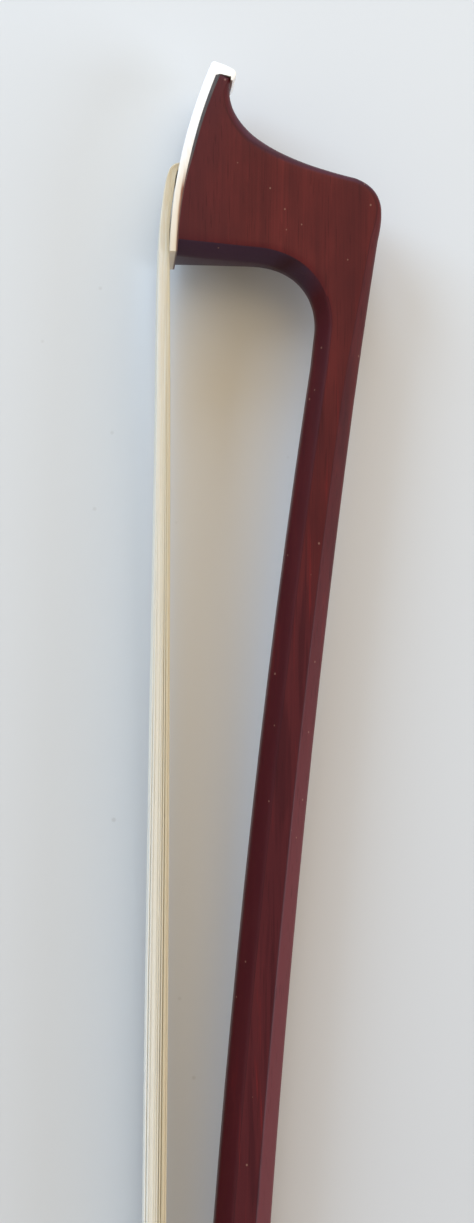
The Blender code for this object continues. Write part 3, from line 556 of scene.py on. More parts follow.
def joinRings(rings, closed=False, caps="face", shape=None):
    shape = shape or bmesh.new()
    made = [[shape.verts.new(p) for p in ring] for ring in rings]
    pairs = list(zip(made, made[1:]))
    if closed:
        pairs.append((made[-1], made[0]))
    count = len(made[0])
    for first, second in pairs:
        for i in range(count):
            k = (i + 1) % count
            shape.faces.new((first[i], first[k], second[k], second[i]))
    if closed:
        return shape
    for ring in (made[0], made[-1]):
        if caps == "ladder":  # the ring's two halves mirror each other
            for i in range(count // 2 - 1):
                shape.faces.new((ring[i], ring[i + 1], ring[count - 2 - i], ring[count - 1 - i]))
        else:
            shape.faces.new(ring)
    return shape


def softCorners(ring, corners, reach):
    made = []  # each corner gets three points on a short curve
    for i, point in enumerate(ring):
        if i not in corners:
            made.append(point)
            continue
        ends = []
        for other in (ring[i - 1], ring[(i + 1) % len(ring)]):
            side = other - point
            ends.append(point + side * min(reach / max(side.length, 1e-6), 0.45))
        made += [ends[0], ends[0] * 0.25 + point * 0.5 + ends[1] * 0.25, ends[1]]
    return made


def carve(shape, tools, change="DIFFERENCE"):
    made = []
    for part in [shape] + tools:
        bmesh.ops.recalc_face_normals(part, faces=part.faces)
        mesh = bpy.data.meshes.new("carving")
        part.to_mesh(mesh)
        part.free()
        made.append(addObject("carving", mesh))
    for tool in made[1:]:
        cut = made[0].modifiers.new("cut", "BOOLEAN")
        cut.operation = change
        cut.object = tool
    carved = bmesh.new()
    carved.from_object(made[0], bpy.context.evaluated_depsgraph_get())
    for thing in made:
        mesh = thing.data
        bpy.data.objects.remove(thing)
        bpy.data.meshes.remove(mesh)
    return carved


# Stick and head

stick = {
    "headRoot": Vector((2.0, 20.8)),
    "headSlope": -0.145,
    "headLever": 160.0,
    "handleLever": 240.0,
    "handleStart": 590.0,
    "handleSlope": 0.0574,
    "end": 706.5,
    "ferruleX": 652.0,
    "ferruleY": 20.0,
    "handleThickness": 8.6,
    "taper": (-2.38, 3.87, 100.0),
    "nippleRadius": 2.5,
    "nippleLength": 3.0,
    "edgeReach": 0.42,  # how far an edge between two facets is softened
    "cheekPoints": 9,
    "headEnd": 16.0,  # where the head's own outline takes over
    "handleRings": 20,
    "shaftRings": 70,
    "endBevel": 0.35,
}

facet = math.tan(math.pi / 8)


def handleAxisY(x):
    return stick["ferruleY"] + (x - stick["ferruleX"]) * stick["handleSlope"]


def camberCurve():
    start = stick["headRoot"]
    end = Vector((stick["handleStart"], handleAxisY(stick["handleStart"])))
    lead = Vector((1.0, stick["headSlope"])) * stick["headLever"]
    tail = Vector((1.0, stick["handleSlope"])) * stick["handleLever"]
    return start, start + lead, end - tail, end


def camberAt(x):
    if x >= stick["handleStart"]:
        return Vector((x, handleAxisY(x))), Vector((1.0, stick["handleSlope"])).normalized()
    root = stick["headRoot"]
    if x <= root.x:
        back = Vector((1.0, stick["headSlope"]))
        return root + back * (x - root.x), back.normalized()
    curve = camberCurve()
    low, high = 0.0, 1.0
    for _ in range(40):
        middle = (low + high) / 2
        if bezier(curve, middle).x < x:
            low = middle
        else:
            high = middle
    step = 1e-4
    run = bezier(curve, low + step) - bezier(curve, low - step)
    return bezier(curve, low), run.normalized()


def stickThickness(x):
    a, b, c = stick["taper"]
    return min(stick["handleThickness"], a + b * math.log10(c + max(x, 0.0)))


def plateOuter(x):
    return head["level"] + head["sweep"] * x * x


def platePoint(x, depth):
    inward = unitNormal(Vector((1.0, 2 * head["sweep"] * x)))
    return Vector((x, plateOuter(x))) + inward * depth


def plateDepth(x):
    return throughStops(head["plate"], x)


def seatDepth(x):
    return plateDepth(x) + throughStops(head["liner"], x)


def plateHalfWidth(x):
    along = min(1.0, max(0.0, (head["throatX"] - x) / (head["throatX"] - head["tipX"])))
    return head["halfWidth"] - head["narrowing"] * along**1.6


def cheekHalfWidth(point):
    slim = stickThickness(point.x) / 2
    seat = seatDepth(point.x)
    height = point.y - plateOuter(point.x) - seat
    rise = min(1.0, max(0.0, height / (head["ridgeHeight"] - seat)))
    low = plateHalfWidth(point.x)
    ridge = min(head["ridgeHalfWidth"], low - 0.2)
    wide = ridge + (low - ridge) * (1.0 - rise) ** 1.8
    return lerp(slim, wide, smoothStep((16.0 - point.x) / 11.0))


def seatPoint(x):
    return platePoint(x, seatDepth(x))


def headOuter(s):  # back of the head, brow and front edge; s counts stretches up to 16
    if s <= 2.0:
        centre, run = camberAt(11.0 - 4.5 * s)
        return centre + unitNormal(run) * stickThickness(centre.x) / 2
    shoulder, run = camberAt(-3.5)
    shoulder = shoulder + unitNormal(run) * stickThickness(0.0) / 2
    if s < 3.0:
        return lerp(headOuter(2.0), shoulder, s - 2.0)
    if s <= 8.0:
        return bezier((shoulder, *head["brow"]), (s - 3.0) / 5.0)
    if s <= 15.0:
        return bezier((head["brow"][-1], *head["front"]), (s - 8.0) / 7.0 * head["frontEnd"])
    return lerp(headOuter(15.0), seatPoint(head["noseX"]), s - 15.0)


def headInner(s):  # underside, throat arch and the throat's back face
    under, run = camberAt(12.0)
    under = under - unitNormal(run) * stickThickness(12.0) / 2
    crook = Vector((head["throatX"] + 0.5, head["crookY"]))
    arch = (*head["arch"], crook)
    if s < 1.0:
        return lerp(under, arch[0], s)
    if s <= 7.0:
        return bezier(arch, (s - 1.0) / 6.0)
    return lerp(crook, seatPoint(head["throatX"]), (s - 7.0) / 9.0)


def findFrontEnd():  # where the front edge meets the nose's cut end
    low, high = 0.5, 1.0
    for _ in range(40):
        head["frontEnd"] = (low + high) / 2
        gap = headOuter(15.0) - seatPoint(head["noseX"])
        if gap.x * head["noseLean"].y - gap.y * head["noseLean"].x > 0.0:
            low = head["frontEnd"]
        else:
            high = head["frontEnd"]


def stickRing(outer, inner, outerIn, innerIn, outerBevel, innerBevel, innerSide, seated=0.0):
    first = outer + outerIn * outerBevel
    last = inner + innerIn * innerBevel
    top = cheekHalfWidth(first)
    low = cheekHalfWidth(last)
    side = [(outer, top - outerBevel), (first, top)]
    count = stick["cheekPoints"]
    for i in range(1, count + 1):
        share = i / (count + 1)
        point = first.lerp(last, share)
        if seated:
            onSeat = seatPoint(lerp(head["noseX"], head["throatX"], share))
            straight = seatPoint(head["noseX"]).lerp(headInner(16.0), share)
            point = point + (onSeat - straight) * seated
        side.append((point, cheekHalfWidth(point)))
    side += [(last, low), (inner, low - innerSide)]
    right = [Vector((p.x, p.y, half)) for p, half in side]
    left = [Vector((p.x, p.y, -half)) for p, half in reversed(side)]
    total = len(side)
    corners = {0, 1, total - 2, total - 1}
    corners |= {2 * total - 1 - i for i in corners}
    return softCorners(right + left, corners, stick["edgeReach"])


def mortiseTool():  # square to the plate, where the hair goes in
    middle = head["mortise"]
    run = Vector((1.0, 2 * head["sweep"] * middle)).normalized()
    half = head["mortiseLength"] / 2
    wide = head["mortiseHalfWidth"]
    rings = []
    for depth in (-1.5, head["mortiseDepth"]):
        centre = platePoint(middle, depth)
        a, b = centre - run * half, centre + run * half
        corners = ((a, -wide), (b, -wide), (b, wide), (a, wide))
        rings.append([Vector((p.x, p.y, side)) for p, side in corners])
    return joinRings(rings)


def makeStick():
    findFrontEnd()
    start, handle, shaft = stick["handleStart"], stick["handleRings"], stick["shaftRings"]
    places = [lerp(stick["end"] - stick["endBevel"], start, i / handle) for i in range(handle)]
    places += [lerp(start, stick["headEnd"], i / shaft) for i in range(shaft + 1)]
    rings = []
    for x in places:
        centre, run = camberAt(x)
        half = stickThickness(x) / 2
        up = unitNormal(run)
        bevel = half * (1.0 - facet)
        ends = (centre + up * half, centre - up * half)
        rings.append(stickRing(*ends, -up, up, bevel, bevel, bevel))
    last = head["stretches"]
    for i in range(last * head["steps"] + 1):
        s = i / head["steps"]
        ahead, behind = max(s - 0.1, 0.0), min(s + 0.1, last)
        outerIn = unitNormal(headOuter(ahead) - headOuter(behind)) * -1.0
        innerIn = unitNormal(headInner(ahead) - headInner(behind))
        bevels = [throughStops(head[key], s) for key in ("outerBevel", "innerBevel", "innerSide")]
        ends = (headOuter(s), headInner(s))
        seated = smoothStep((s - 9.0) / 7.0)
        rings.append(stickRing(*ends, outerIn, innerIn, *bevels, seated))
    centre, run = camberAt(stick["end"])
    middle = Vector((centre.x, centre.y, 0.0))
    shift = Vector((run.x, run.y, 0.0))
    end = [middle + (p - middle - shift * (p - middle).dot(shift)) * 0.94 for p in rings[0]]
    nipple = [middle + (p - middle).normalized() * stick["nippleRadius"] for p in end]
    tip = [p + shift * stick["nippleLength"] for p in nipple]
    shape = joinRings([tip, nipple, end] + rings, caps="ladder")
    shape = carve(shape, [mortiseTool()])
    addPiece("bowStick", shape, "red_brown_wood", "stick", ["stick"], 28.0)


makeStick()
print("stick made")


# Head plate and liner


def evenPoints(points, count):
    lengths = [0.0]
    for a, b in zip(points, points[1:]):
        lengths.append(lengths[-1] + (b - a).length)
    made = []
    for i in range(count):
        want = lengths[-1] * i / (count - 1)
        k = max(j for j in range(len(points) - 1) if lengths[j] <= want + 1e-9)
        share = (want - lengths[k]) / max(lengths[k + 1] - lengths[k], 1e-9)
        made.append(points[k].lerp(points[k + 1], min(share, 1.0)))
    return made


def slabRing(outer, inner, trim, soft):
    half = [max(plateHalfWidth(p.x) - trim, 0.5) for p in (outer, inner)]
    right = [Vector((outer.x, outer.y, half[0])), Vector((inner.x, inner.y, half[1]))]
    left = [Vector((p.x, p.y, -p.z)) for p in reversed(right)]
    return softCorners(right + left, {0, 3}, soft)


def makePlate():
    outer = [platePoint(lerp(head["throatX"], -22.6, i / 26), 0.0) for i in range(27)]
    innerX = [lerp(head["throatX"], -22.5, i / 26) for i in range(27)]
    inner = [platePoint(x, plateDepth(x)) for x in innerX]
    tip = head["tipX"]
    outerTip = [
        outer[-1],
        platePoint(-23.4, 0.0),
        Vector((tip + 0.1, plateOuter(tip) - 0.02)),
        Vector((tip, plateOuter(tip) + 0.15)),
        Vector((tip + 0.06, plateOuter(tip) + 0.4)),
    ]
    outerTip += [Vector(place) for place in head["beak"]]
    corner = seatPoint(head["noseX"])
    end = headOuter(15.0)
    innerTip = [inner[-1], corner, end, lerp(end, headOuter(14.85), 0.9)]
    outer += evenPoints(outerTip, 22)[1:]
    inner += evenPoints(innerTip, 22)[1:]
    rings = [slabRing(a, b, 0.0, 0.3) for a, b in zip(outer, inner)]
    shape = carve(joinRings(rings, caps="ladder"), [mortiseTool()])
    addPiece("bonePlate", shape, "bone", "stick", ["head_plate"], 40.0)


def makeLinerPiece():
    rings = []
    for i in range(27):
        x = lerp(head["throatX"] - 0.02, head["noseX"] + 0.05, i / 26)
        rings.append(slabRing(platePoint(x, plateDepth(x)), seatPoint(x), 0.03, 0.05))
    shape = carve(joinRings(rings, caps="ladder"), [mortiseTool()])
    addPiece("plateLiner", shape, "liner", "stick", ["head_plate_liner"], 40.0)


makePlate()
makeLinerPiece()
print("head plate made")


# Hair

hair = {
    "count": 210,
    "radius": 0.1,
    # the main bundle and a thin one beside it, toward the stick: share of the strands,
    # middle and half thickness
    "bundles": [(0.66, -0.3, 0.68), (0.34, 0.72, 0.25)],
    "coreSides": 16,
    "blunt": 0.45,  # how square a bundle is
    "onEdge": 0.34,  # share of the strands along a bundle's narrow edges
    "wander": 0.07,
    "stepsPerStretch": 5,
    # where it leaves the plate: x, depth behind the plate's face, shift along the bow, and
    # half its width and half its thickness
    "byPlate": [
        (-11.3, 3.2, -0.1, 3.0, 0.36),
        (-11.3, 0.9, -0.15, 3.1, 0.36),
        (-11.3, -0.1, 0.0, 3.2, 0.4),
        (-10.4, -0.6, 0.0, 3.3, 0.52),
        (-7.7, -0.66, 0.0, 3.6, 0.6),
        (-3.6, -0.66, 0.0, 4.0, 0.6),
    ],
    "free": [  # x, y and the same halves
        (3.0, -1.06, 4.3, 0.72),
        (25.0, -1.0, 4.7, 0.88),
        (62.0, -1.07, 4.8, 1.12),
        (112.0, -1.2, 4.8, 1.3),
        (250.0, -1.3, 4.8, 1.3),
        (420.0, -1.3, 4.8, 1.15),
        (590.0, -1.15, 4.8, 0.8),
    ],
    "inFerrule": [(2.8, -19.75), (5.0, -19.75), (9.0, -19.75)],  # along and across the handle
}


def handlePoint(u, v):
    run = Vector((1.0, stick["handleSlope"])).normalized()
    return Vector((stick["ferruleX"], stick["ferruleY"])) + run * u + unitNormal(run) * v


def hairStations():  # middle of the hair, half its width and half its thickness
    made = []
    for x, depth, shift, wide, thick in hair["byPlate"]:
        made.append((platePoint(x, depth) + Vector((shift, 0.0)), wide, thick))
    made += [(Vector((x, y)), wide, thick) for x, y, wide, thick in hair["free"]]
    return made + [(handlePoint(u, v), 4.85, 0.38) for u, v in hair["inFerrule"]]


def alongStations(stations, steps):  # smooth points through the stations
    rows = [[p.x, p.y, wide, thick] for p, wide, thick in stations]
    rows = [rows[0]] + rows + [rows[-1]]
    made = []
    for a, b, c, d in zip(rows, rows[1:], rows[2:], rows[3:]):
        for i in range(steps):
            t = i / steps
            point = []
            for j in range(4):
                curve = (2 * a[j] - 5 * b[j] + 4 * c[j] - d[j]) * t * t
                curve += (3 * b[j] - a[j] - 3 * c[j] + d[j]) * t**3
                point.append((2 * b[j] + (c[j] - a[j]) * t + curve) / 2)
            made.append(point)
    return made + [rows[-1]]


def strandPlace():  # shares of the ribbon's thickness and width
    main, thin = hair["bundles"]
    _, middle, half = main if random.random() < main[0] else thin
    side = random.choice((-1.0, 1.0))
    if random.random() < hair["onEdge"]:
        return middle + half * random.uniform(-1.0, 1.0), side * random.uniform(0.975, 1.0)
    return middle + side * half * random.uniform(0.97, 1.06), random.uniform(-1.0, 1.0)


def bluntly(share):
    return math.copysign(abs(share) ** hair["blunt"], share)


def makeHairPiece():
    path = alongStations(hairStations(), hair["stepsPerStretch"])
    runs = []
    for i in range(len(path)):
        before, after = path[max(i - 1, 0)], path[min(i + 1, len(path) - 1)]
        runs.append(unitNormal(Vector((after[0] - before[0], after[1] - before[1]))))
    shape = bmesh.new()
    for _, middle, half in hair["bundles"]:  # dense inside
        rings = []
        for (x, y, wide, thick), out in zip(path, runs):
            ring = []
            for turn in roundTurns(hair["coreSides"]):
                over, side = bluntly(math.cos(turn)), bluntly(math.sin(turn))
                place = Vector((x, y)) + out * (middle + half * over) * thick
                ring.append(Vector((place.x, place.y, side * (wide - 0.05))))
            rings.append(ring)
        joinRings(rings, shape=shape)
    for _ in range(hair["count"]):
        through, across = strandPlace()
        sway = [random.uniform(-1.0, 1.0) for _ in range(4)]
        radius = hair["radius"] * random.uniform(0.85, 1.1)
        rings = []
        for (x, y, wide, thick), out in zip(path, runs):
            slack = smoothStep(x / 60.0) * smoothStep((650.0 - x) / 60.0)
            swing = math.sin(x * 0.013 + sway[0] * 3.0) * sway[1]
            swing += math.sin(x * 0.041 + sway[2] * 3.0) * 0.4
            off = through * (thick - radius) + swing * slack * hair["wander"]
            side = across * (wide - radius) + swing * slack * sway[3] * 0.15
            place = Vector((x, y)) + out * off
            ring = []
            for turn in roundTurns(4):
                edge = place + out * math.cos(turn) * radius
                ring.append(Vector((edge.x, edge.y, side + math.sin(turn) * radius)))
            rings.append(ring)
        joinRings(rings, shape=shape)
    held = ["hair_ribbon", "hair_knot_tip", "hair_knot_frog"]
    piece = addPiece("hairStrands", shape, "horse_hair", "", held, 180.0)
    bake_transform(piece)


makeHairPiece()
print("hair made")


# Lapping: two flat strips wound side by side

lapping = {
    "turns": 24,
    "pitch": 2.8,
    "end": -18.4,  # handle place of its last turn, under the leather's edge
    "width": 1.36,
    "thickness": 0.5,
    "pointsPerTurn": 32,
    "lift": 0.05,  # over the wood
    "corner": 1.06,  # most it stands off at the stick's corners, as a share
    # outline of a strip: share of its width, share of its thickness
    "profile": [(-0.5, 0.2), (-0.42, 0.0), (0.42, 0.0), (0.5, 0.2)]
    + [(0.5, 0.75), (0.4, 1.0), (-0.4, 1.0), (-0.5, 0.75)],
}


def octagonReach(turn, apothem, most):  # to the side of an octagon with soft corners
    fromMiddle = (turn + math.pi / 8) % (math.pi / 4) - math.pi / 8
    return min(apothem / math.cos(fromMiddle), apothem * most)


def roundStick(x, turn, over, most):  # a point this far over the stick's facets
    centre, run = camberAt(x)
    reach = octagonReach(turn, stickThickness(x) / 2 + over, most)
    place = centre + unitNormal(run) * math.cos(turn) * reach
    return Vector((place.x, place.y, math.sin(turn) * reach))


def makeLapping():
    perTurn = lapping["pointsPerTurn"]
    for name, finish, shift in (("Dark", "dark_strip", 0.0), ("Light", "light_strip", 0.5)):
        rings = []
        for i in range(lapping["turns"] * perTurn + 1):
            turns = i / perTurn
            turn = turns * math.tau
            x = stick["ferruleX"] + lapping["end"] - (turns + shift) * lapping["pitch"]
            ring = []
            for along, over in lapping["profile"]:
                lift = lapping["lift"] + over * lapping["thickness"]
                at = x + along * lapping["width"]
                ring.append(roundStick(at, turn, lift, lapping["corner"]))
            rings.append(ring)
        shape = joinRings(rings)
        addPiece("lapping" + name, shape, finish, "stick", ["winding_" + name.lower()], 50.0)


# Leather

leather = {
    "from": -19.5,
    "to": 9.5,
    "thickness": 1.2,
    "thinned": 0.64,  # left at its skived ends, over the lapping
    "skive": 3.2,
    "seamDepth": 0.32,
    "seamWidth": 0.07,  # radians
    "overlap": 0.16,  # the upper flap's edge by the seam
    "around": 96,
    "along": 58,
    "corner": 1.03,
}


def leatherOver(u, turn):
    reach = min(u - leather["from"], leather["to"] - u) / leather["skive"]
    full = leather["thickness"] * math.sin(math.pi / 2 * min(1.0, max(0.0, reach)) ** 0.7)
    over = max(leather["thinned"], full)
    over += 0.08 * math.sin(math.pi * (u - leather["from"]) / (leather["to"] - leather["from"]))
    fromSeam = (turn + math.tau) % math.tau - math.pi  # the seam faces the hair
    over -= leather["seamDepth"] * math.exp(-((fromSeam / leather["seamWidth"]) ** 2))
    if fromSeam > 0.0:
        over += leather["overlap"] * smoothStep(1.0 - fromSeam / 0.8)
    where = Vector((u * 0.35, math.cos(turn) * 1.6, math.sin(turn) * 1.6))
    return over + noise.noise(where) * 0.07


def makeLeather():
    turns = roundTurns(leather["around"])
    rings = []
    for i in range(leather["along"] + 1):
        share = i / leather["along"]
        share -= 0.12 * math.sin(share * math.tau) / math.pi  # closer together at the ends
        u = lerp(leather["from"], leather["to"], share)
        x = stick["ferruleX"] + u
        rings.append([roundStick(x, t, leatherOver(u, t), leather["corner"]) for t in turns])
    for u in (leather["to"], leather["from"]):
        rings.append([roundStick(stick["ferruleX"] + u, t, 0.04, 1.068) for t in turns])
    shape = joinRings(rings, closed=True)
    addPiece("thumbLeather", shape, "black_leather", "stick", ["thumb_leather"], 50.0)


makeLapping()
makeLeather()
print("grip made")


# Frog

frog = {
    "ferruleFront": 4.0,
    "ferruleBack": 16.0,
    "ferruleHalfWidth": 6.7,
    "flat": -21.1,  # its underside
    "crown": -14.6,
    "waist": -19.3,
    "wall": 0.6,
    "lip": 11.8,  # where the thumb's lip ends
    "heel": 49.0,
    "heelHalfWidth": 5.35,
    "cheekHalfWidth": 4.4,
    "railHalfWidth": 5.2,
    "railTop": -3.1,
    "railStart": -7.5,  # below it the cheeks are flat
    "throat": (12.2, -10.7),
    "throatRadius": 4.5,
    "heelLean": 1.2,
    "tongueFloor": -17.1,  # of the tongue that fills the ferrule over the hair
    "liningEdge": -2.5,
    "soft": 0.6,  # rounding of its upright edges in front
    "heelSoft": 0.5,  # and at the heel
    "trim": 0.12,  # broken edges of its flat faces
    "slide": ((16.7, 4.4), (41.36, 3.6)),  # the pearl slide's ends and half widths
    "slideLean": 0.34,
    "slideTop": -20.0,
    "lining": 0.45,
    "metal": 0.6,
    "heelPlateFront": 41.4,
    "heelPlateTop": -11.2,
    "heelPins": (-13.4, -18.4),
    "lowerPin": 45.2,
    "pinHead": ((0.75, -0.1), (0.75, 0.02), (0.62, 0.09), (0.3, 0.13)),  # radius, height
    "eye": (31.0, -11.3),
    "eyeRadius": 3.15,
    "ringRadius": 4.2,
    "eyeFace": 4.55,
}


def frogPoint(u, v, z):
    return Vector((*handlePoint(u, v), z))


def bottomHalfWidth(u):
    share = (u - frog["ferruleBack"]) / (frog["heel"] - frog["ferruleBack"])
    return lerp(frog["ferruleHalfWidth"], frog["heelHalfWidth"], share)


def frogHalfWidth(u, v):
    cheek = frog["cheekHalfWidth"]
    if v > frog["railStart"]:
        cheek = lerp(cheek, frog["railHalfWidth"], smoothStep((v - frog["railStart"]) / 3.0))
    if v <= frog["waist"]:
        return bottomHalfWidth(u) - 0.75 * max(0.0, frog["waist"] - 0.9 - v)
    rise = (v - frog["waist"]) / (frog["crown"] - frog["waist"])
    return max(cheek, bottomHalfWidth(u) * math.sqrt(max(0.0, 1.0 - rise * rise)))


def frogFront(v):
    u, middle = frog["throat"]
    if v > middle + frog["throatRadius"]:
        return frog["lip"]
    if v < frog["crown"] + 0.2:
        return frog["ferruleBack"] + 0.04
    scoop = u + math.sqrt(max(0.0, frog["throatRadius"] ** 2 - (v - middle) ** 2))
    return scoop if v > middle else max(scoop, frog["ferruleBack"] + 0.04)


def frogHeights():
    low, waist, crown = frog["flat"], frog["waist"], frog["crown"]
    made = [low, low + 0.15, low + 0.5, low + 0.9, waist - 0.45, waist]
    made += [waist + (crown - waist) * math.sin(math.pi / 2 * i / 12) for i in range(1, 12)]
    middle, radius = frog["throat"][1], frog["throatRadius"]
    made += [crown + 0.21, crown + 0.8, middle - radius * 0.6]
    for i in range(25):
        turn = lerp(-0.58, math.pi / 2, i / 24)
        made.append(middle + math.sin(turn) * radius)
    top = frog["railTop"]
    lip = made[-1]
    made += [lip + 0.05, lip + 0.2] + [lerp(lip, top, i / 8) for i in range(1, 8)]
    return made + [top - 0.12, top]


def frogBlank():
    rings = []
    heights = frogHeights()
    corner = [math.pi / 2 * i / 4 for i in range(5)]
    for v in heights:
        front = frogFront(v)
        back = frog["heel"] - frog["heelLean"] * smoothStep((v + 10.5) / 6.0)
        soft = frog["soft"] if v > frog["crown"] + 0.2 else 0.08
        heel = frog["heelSoft"]
        trim = frog["trim"] if v in (heights[0], heights[-1]) else 0.0
        u0, u1 = front + soft, back - heel
        half = frogHalfWidth(u0, v) - trim - soft
        side = [(u0 - soft * math.cos(t), half + soft * math.sin(t)) for t in corner]
        for i in range(1, 16):
            u = lerp(u0, u1, i / 16)
            side.append((u, frogHalfWidth(u, v) - trim))
        half = frogHalfWidth(u1, v) - trim - heel
        side += [(u1 + heel * math.sin(t), half + heel * math.cos(t)) for t in corner]
        ring = [frogPoint(u, v, half) for u, half in side]
        rings.append(ring + [frogPoint(u, v, -half) for u, half in reversed(side)])
    return joinRings(rings)


def slab(outline, low, high, along="z"):  # an outline in the handle's frame, drawn out
    if along == "z":
        return joinRings([[frogPoint(u, v, z) for u, v in outline] for z in (low, high)])
    return joinRings([[frogPoint(u, v, z) for v, z in outline] for u in (low, high)])


def ferruleOutline(inset, floor, steps=32):
    wide = frog["ferruleHalfWidth"] - inset
    tall = frog["crown"] - frog["waist"] - inset
    start = math.asin(max(0.0, (floor - frog["waist"]) / tall))
    turns = [lerp(start, math.pi - start, i / steps) for i in range(steps + 1)]
    made = [(frog["waist"] + tall * math.sin(t), wide * math.cos(t)) for t in turns]
    if floor < frog["waist"]:
        cut = 0.9 - inset / 2
        made += [(floor + cut, -wide), (floor + 0.1, -wide + cut - 0.1), (floor, -wide + cut + 0.1)]
        made += [(floor, wide - cut - 0.1), (floor + 0.1, wide - cut + 0.1), (floor + cut, wide)]
    return made


def octagonSection(apothem):
    reach = apothem / math.cos(math.pi / 8)
    turns = [math.pi / 8 + i * math.pi / 4 for i in range(8)]
    return [(reach * math.cos(t), reach * math.sin(t)) for t in turns]


def slideShape(grow, low, high):
    rings = []
    for u, half in frog["slide"]:
        ring = []
        for v, side in ((low, -1.0), (low, 1.0), (high, 1.0), (high, -1.0)):
            wide = half + frog["slideLean"] * (v - frog["flat"]) + grow
            ring.append(frogPoint(u + math.copysign(grow, u - 30.0), v, side * wide))
        rings.append(ring)
    return joinRings(rings)


def heelOutline(grow=0.0):
    low, back = frog["flat"] - 1.0, frog["heel"] + 1.0
    inner, top = frog["metal"] + grow, frog["heelPlateTop"] + grow
    front = frog["heelPlateFront"] - grow
    points = [(front, low), (back, low), (back, top), (frog["heel"] - inner, top)]
    return points + [(frog["heel"] - inner, frog["flat"] + inner), (front, frog["flat"] + inner)]


def makeFrogBlock():
    shape = frogBlank()
    tongue = ferruleOutline(frog["wall"] + 0.03, frog["tongueFloor"])
    shape = carve(shape, [slab(tongue, frog["ferruleFront"] + 0.6, 17.5, "u")], "UNION")
    channel = octagonSection(stick["handleThickness"] / 2 + 0.05 + frog["lining"])
    tools = [slab(channel, 5.0, 60.0, "u"), slideShape(0.03, frog["flat"] - 0.5, -19.2)]
    tools.append(slab(heelOutline(0.03), -9.0, 9.0))
    shape = carve(shape, tools)
    addPiece("frogBlock", shape, "ebony", "frog", ["frog_body"], 24.0)


def makeLining():  # a metal channel under the handle's three lower facets
    inner = stick["handleThickness"] / 2 + 0.03
    edge = frog["liningEdge"]
    section = []
    for apothem in (inner, inner + frog["lining"]):
        corner = apothem * facet
        rail = apothem * math.sqrt(2.0) + edge
        line = [(edge, rail), (-apothem, corner), (-apothem, -corner), (edge, -rail)]
        section += line if apothem == inner else line[::-1]
    shape = slab(section, frog["lip"] + 0.15, frog["heel"] - 1.1, "u")
    addPiece("channelLining", shape, "nickel_silver", "frog", ["underslide"], 20.0)


def ferruleRing(u, inset):
    return [frogPoint(u, v, z) for v, z in ferruleOutline(inset, frog["flat"] + inset)]


def makeFerrule():
    wall, front, back = (frog[key] for key in ("wall", "ferruleFront", "ferruleBack"))
    line = [(front, 0.22), (front + 0.08, 0.08), (front + 0.25, 0.0), (back - 0.1, 0.0)]
    line += [(back, 0.08), (back, wall), (front + 0.25, wall), (front + 0.06, wall - 0.1)]
    shape = joinRings([ferruleRing(u, inset) for u, inset in line], closed=True)
    addPiece("hairFerrule", shape, "nickel_silver", "frog", ["ferrule"], 30.0)


def makeSlide():
    rings = []
    low, high, lean = frog["flat"], frog["slideTop"], frog["slideLean"]
    (u0, half0), (u1, half1) = frog["slide"]
    for i in range(13):
        broken = 0.1 if i in (0, 12) else 0.0  # its ends' edges are taken off a little
        u = lerp(u0, u1, i / 12) + (0.02 if i == 0 else 0.0)
        half = lerp(half0, half1, i / 12)
        right = [(low + broken, half - 0.14), (low + broken + 0.08, half - 0.03)]
        right.append((high, half + lean * (high - low)))
        ring = [frogPoint(u, v, z) for v, z in right]
        rings.append(ring + [frogPoint(u, v, -z) for v, z in reversed(right)])
    addPiece("pearlSlidePlate", joinRings(rings), "pearl_shell", "frog", ["pearl_slide"], 30.0)


def makeHeelPlate():
    shape = carve(frogBlank(), [slab(heelOutline(), -9.0, 9.0)], "INTERSECT")
    addPiece("heelPlateMetal", shape, "nickel_silver", "frog", ["heel_plate"], 24.0)
    pins = bmesh.new()
    along = frogPoint(1.0, 0.0, 0.0) - frogPoint(0.0, 0.0, 0.0)
    upward = Vector((-along.y, along.x, 0.0))
    sideways = Vector((0.0, 0.0, 1.0))
    places = [(frogPoint(frog["heel"], v, 0.0), along, upward) for v in frog["heelPins"]]
    places.append((frogPoint(frog["lowerPin"], frog["flat"], 0.0), -upward, along))
    for middle, out, across in places:
        rings = []
        for radius, lift in frog["pinHead"]:
            spokes = [across * math.cos(t) + sideways * math.sin(t) for t in roundTurns(20)]
            rings.append([middle + out * lift + spoke * radius for spoke in spokes])
        joinRings(rings, shape=pins)
    addPiece("heelPins", pins, "brass", "frog", [], 40.0)


def makeEyes():
    u0, v0 = frog["eye"]
    face, pearl, outer = frog["eyeFace"], frog["eyeRadius"], frog["ringRadius"]
    inner = pearl + 0.02
    ringLine = [(inner, face - 0.5), (inner, face - 0.04), (inner + 0.1, face + 0.02)]
    ringLine += [(outer - 0.12, face + 0.02), (outer, face - 0.06), (outer, face - 0.5)]
    dotLine = [(pearl, face - 0.5), (pearl, face - 0.08), (pearl - 0.2, face - 0.01)]
    dotLine += [(pearl * 0.6, face + 0.03), (0.3, face + 0.05)]
    turns = roundTurns(48)
    for name, side in (("right", 1.0), ("left", -1.0)):

        def spot(reach, turn, height):
            u, v = u0 + reach * math.cos(turn), v0 + reach * math.sin(turn)
            return frogPoint(u, v, side * height)

        ring = joinRings([[spot(r, t, z) for r, z in ringLine] for t in turns], closed=True)
        addPiece("eyeRing." + name, ring, "nickel_silver", "frog", ["eye_ring_" + name], 35.0)
        dot = joinRings([[spot(r, t, z) for t in turns] for r, z in dotLine])
        addPiece("pearlEye." + name, dot, "pearl_shell", "frog", ["pearl_eye_" + name], 35.0)


makeFrogBlock()
makeLining()
makeFerrule()
makeSlide()
makeHeelPlate()
makeEyes()
print("frog made")


# Button and screw

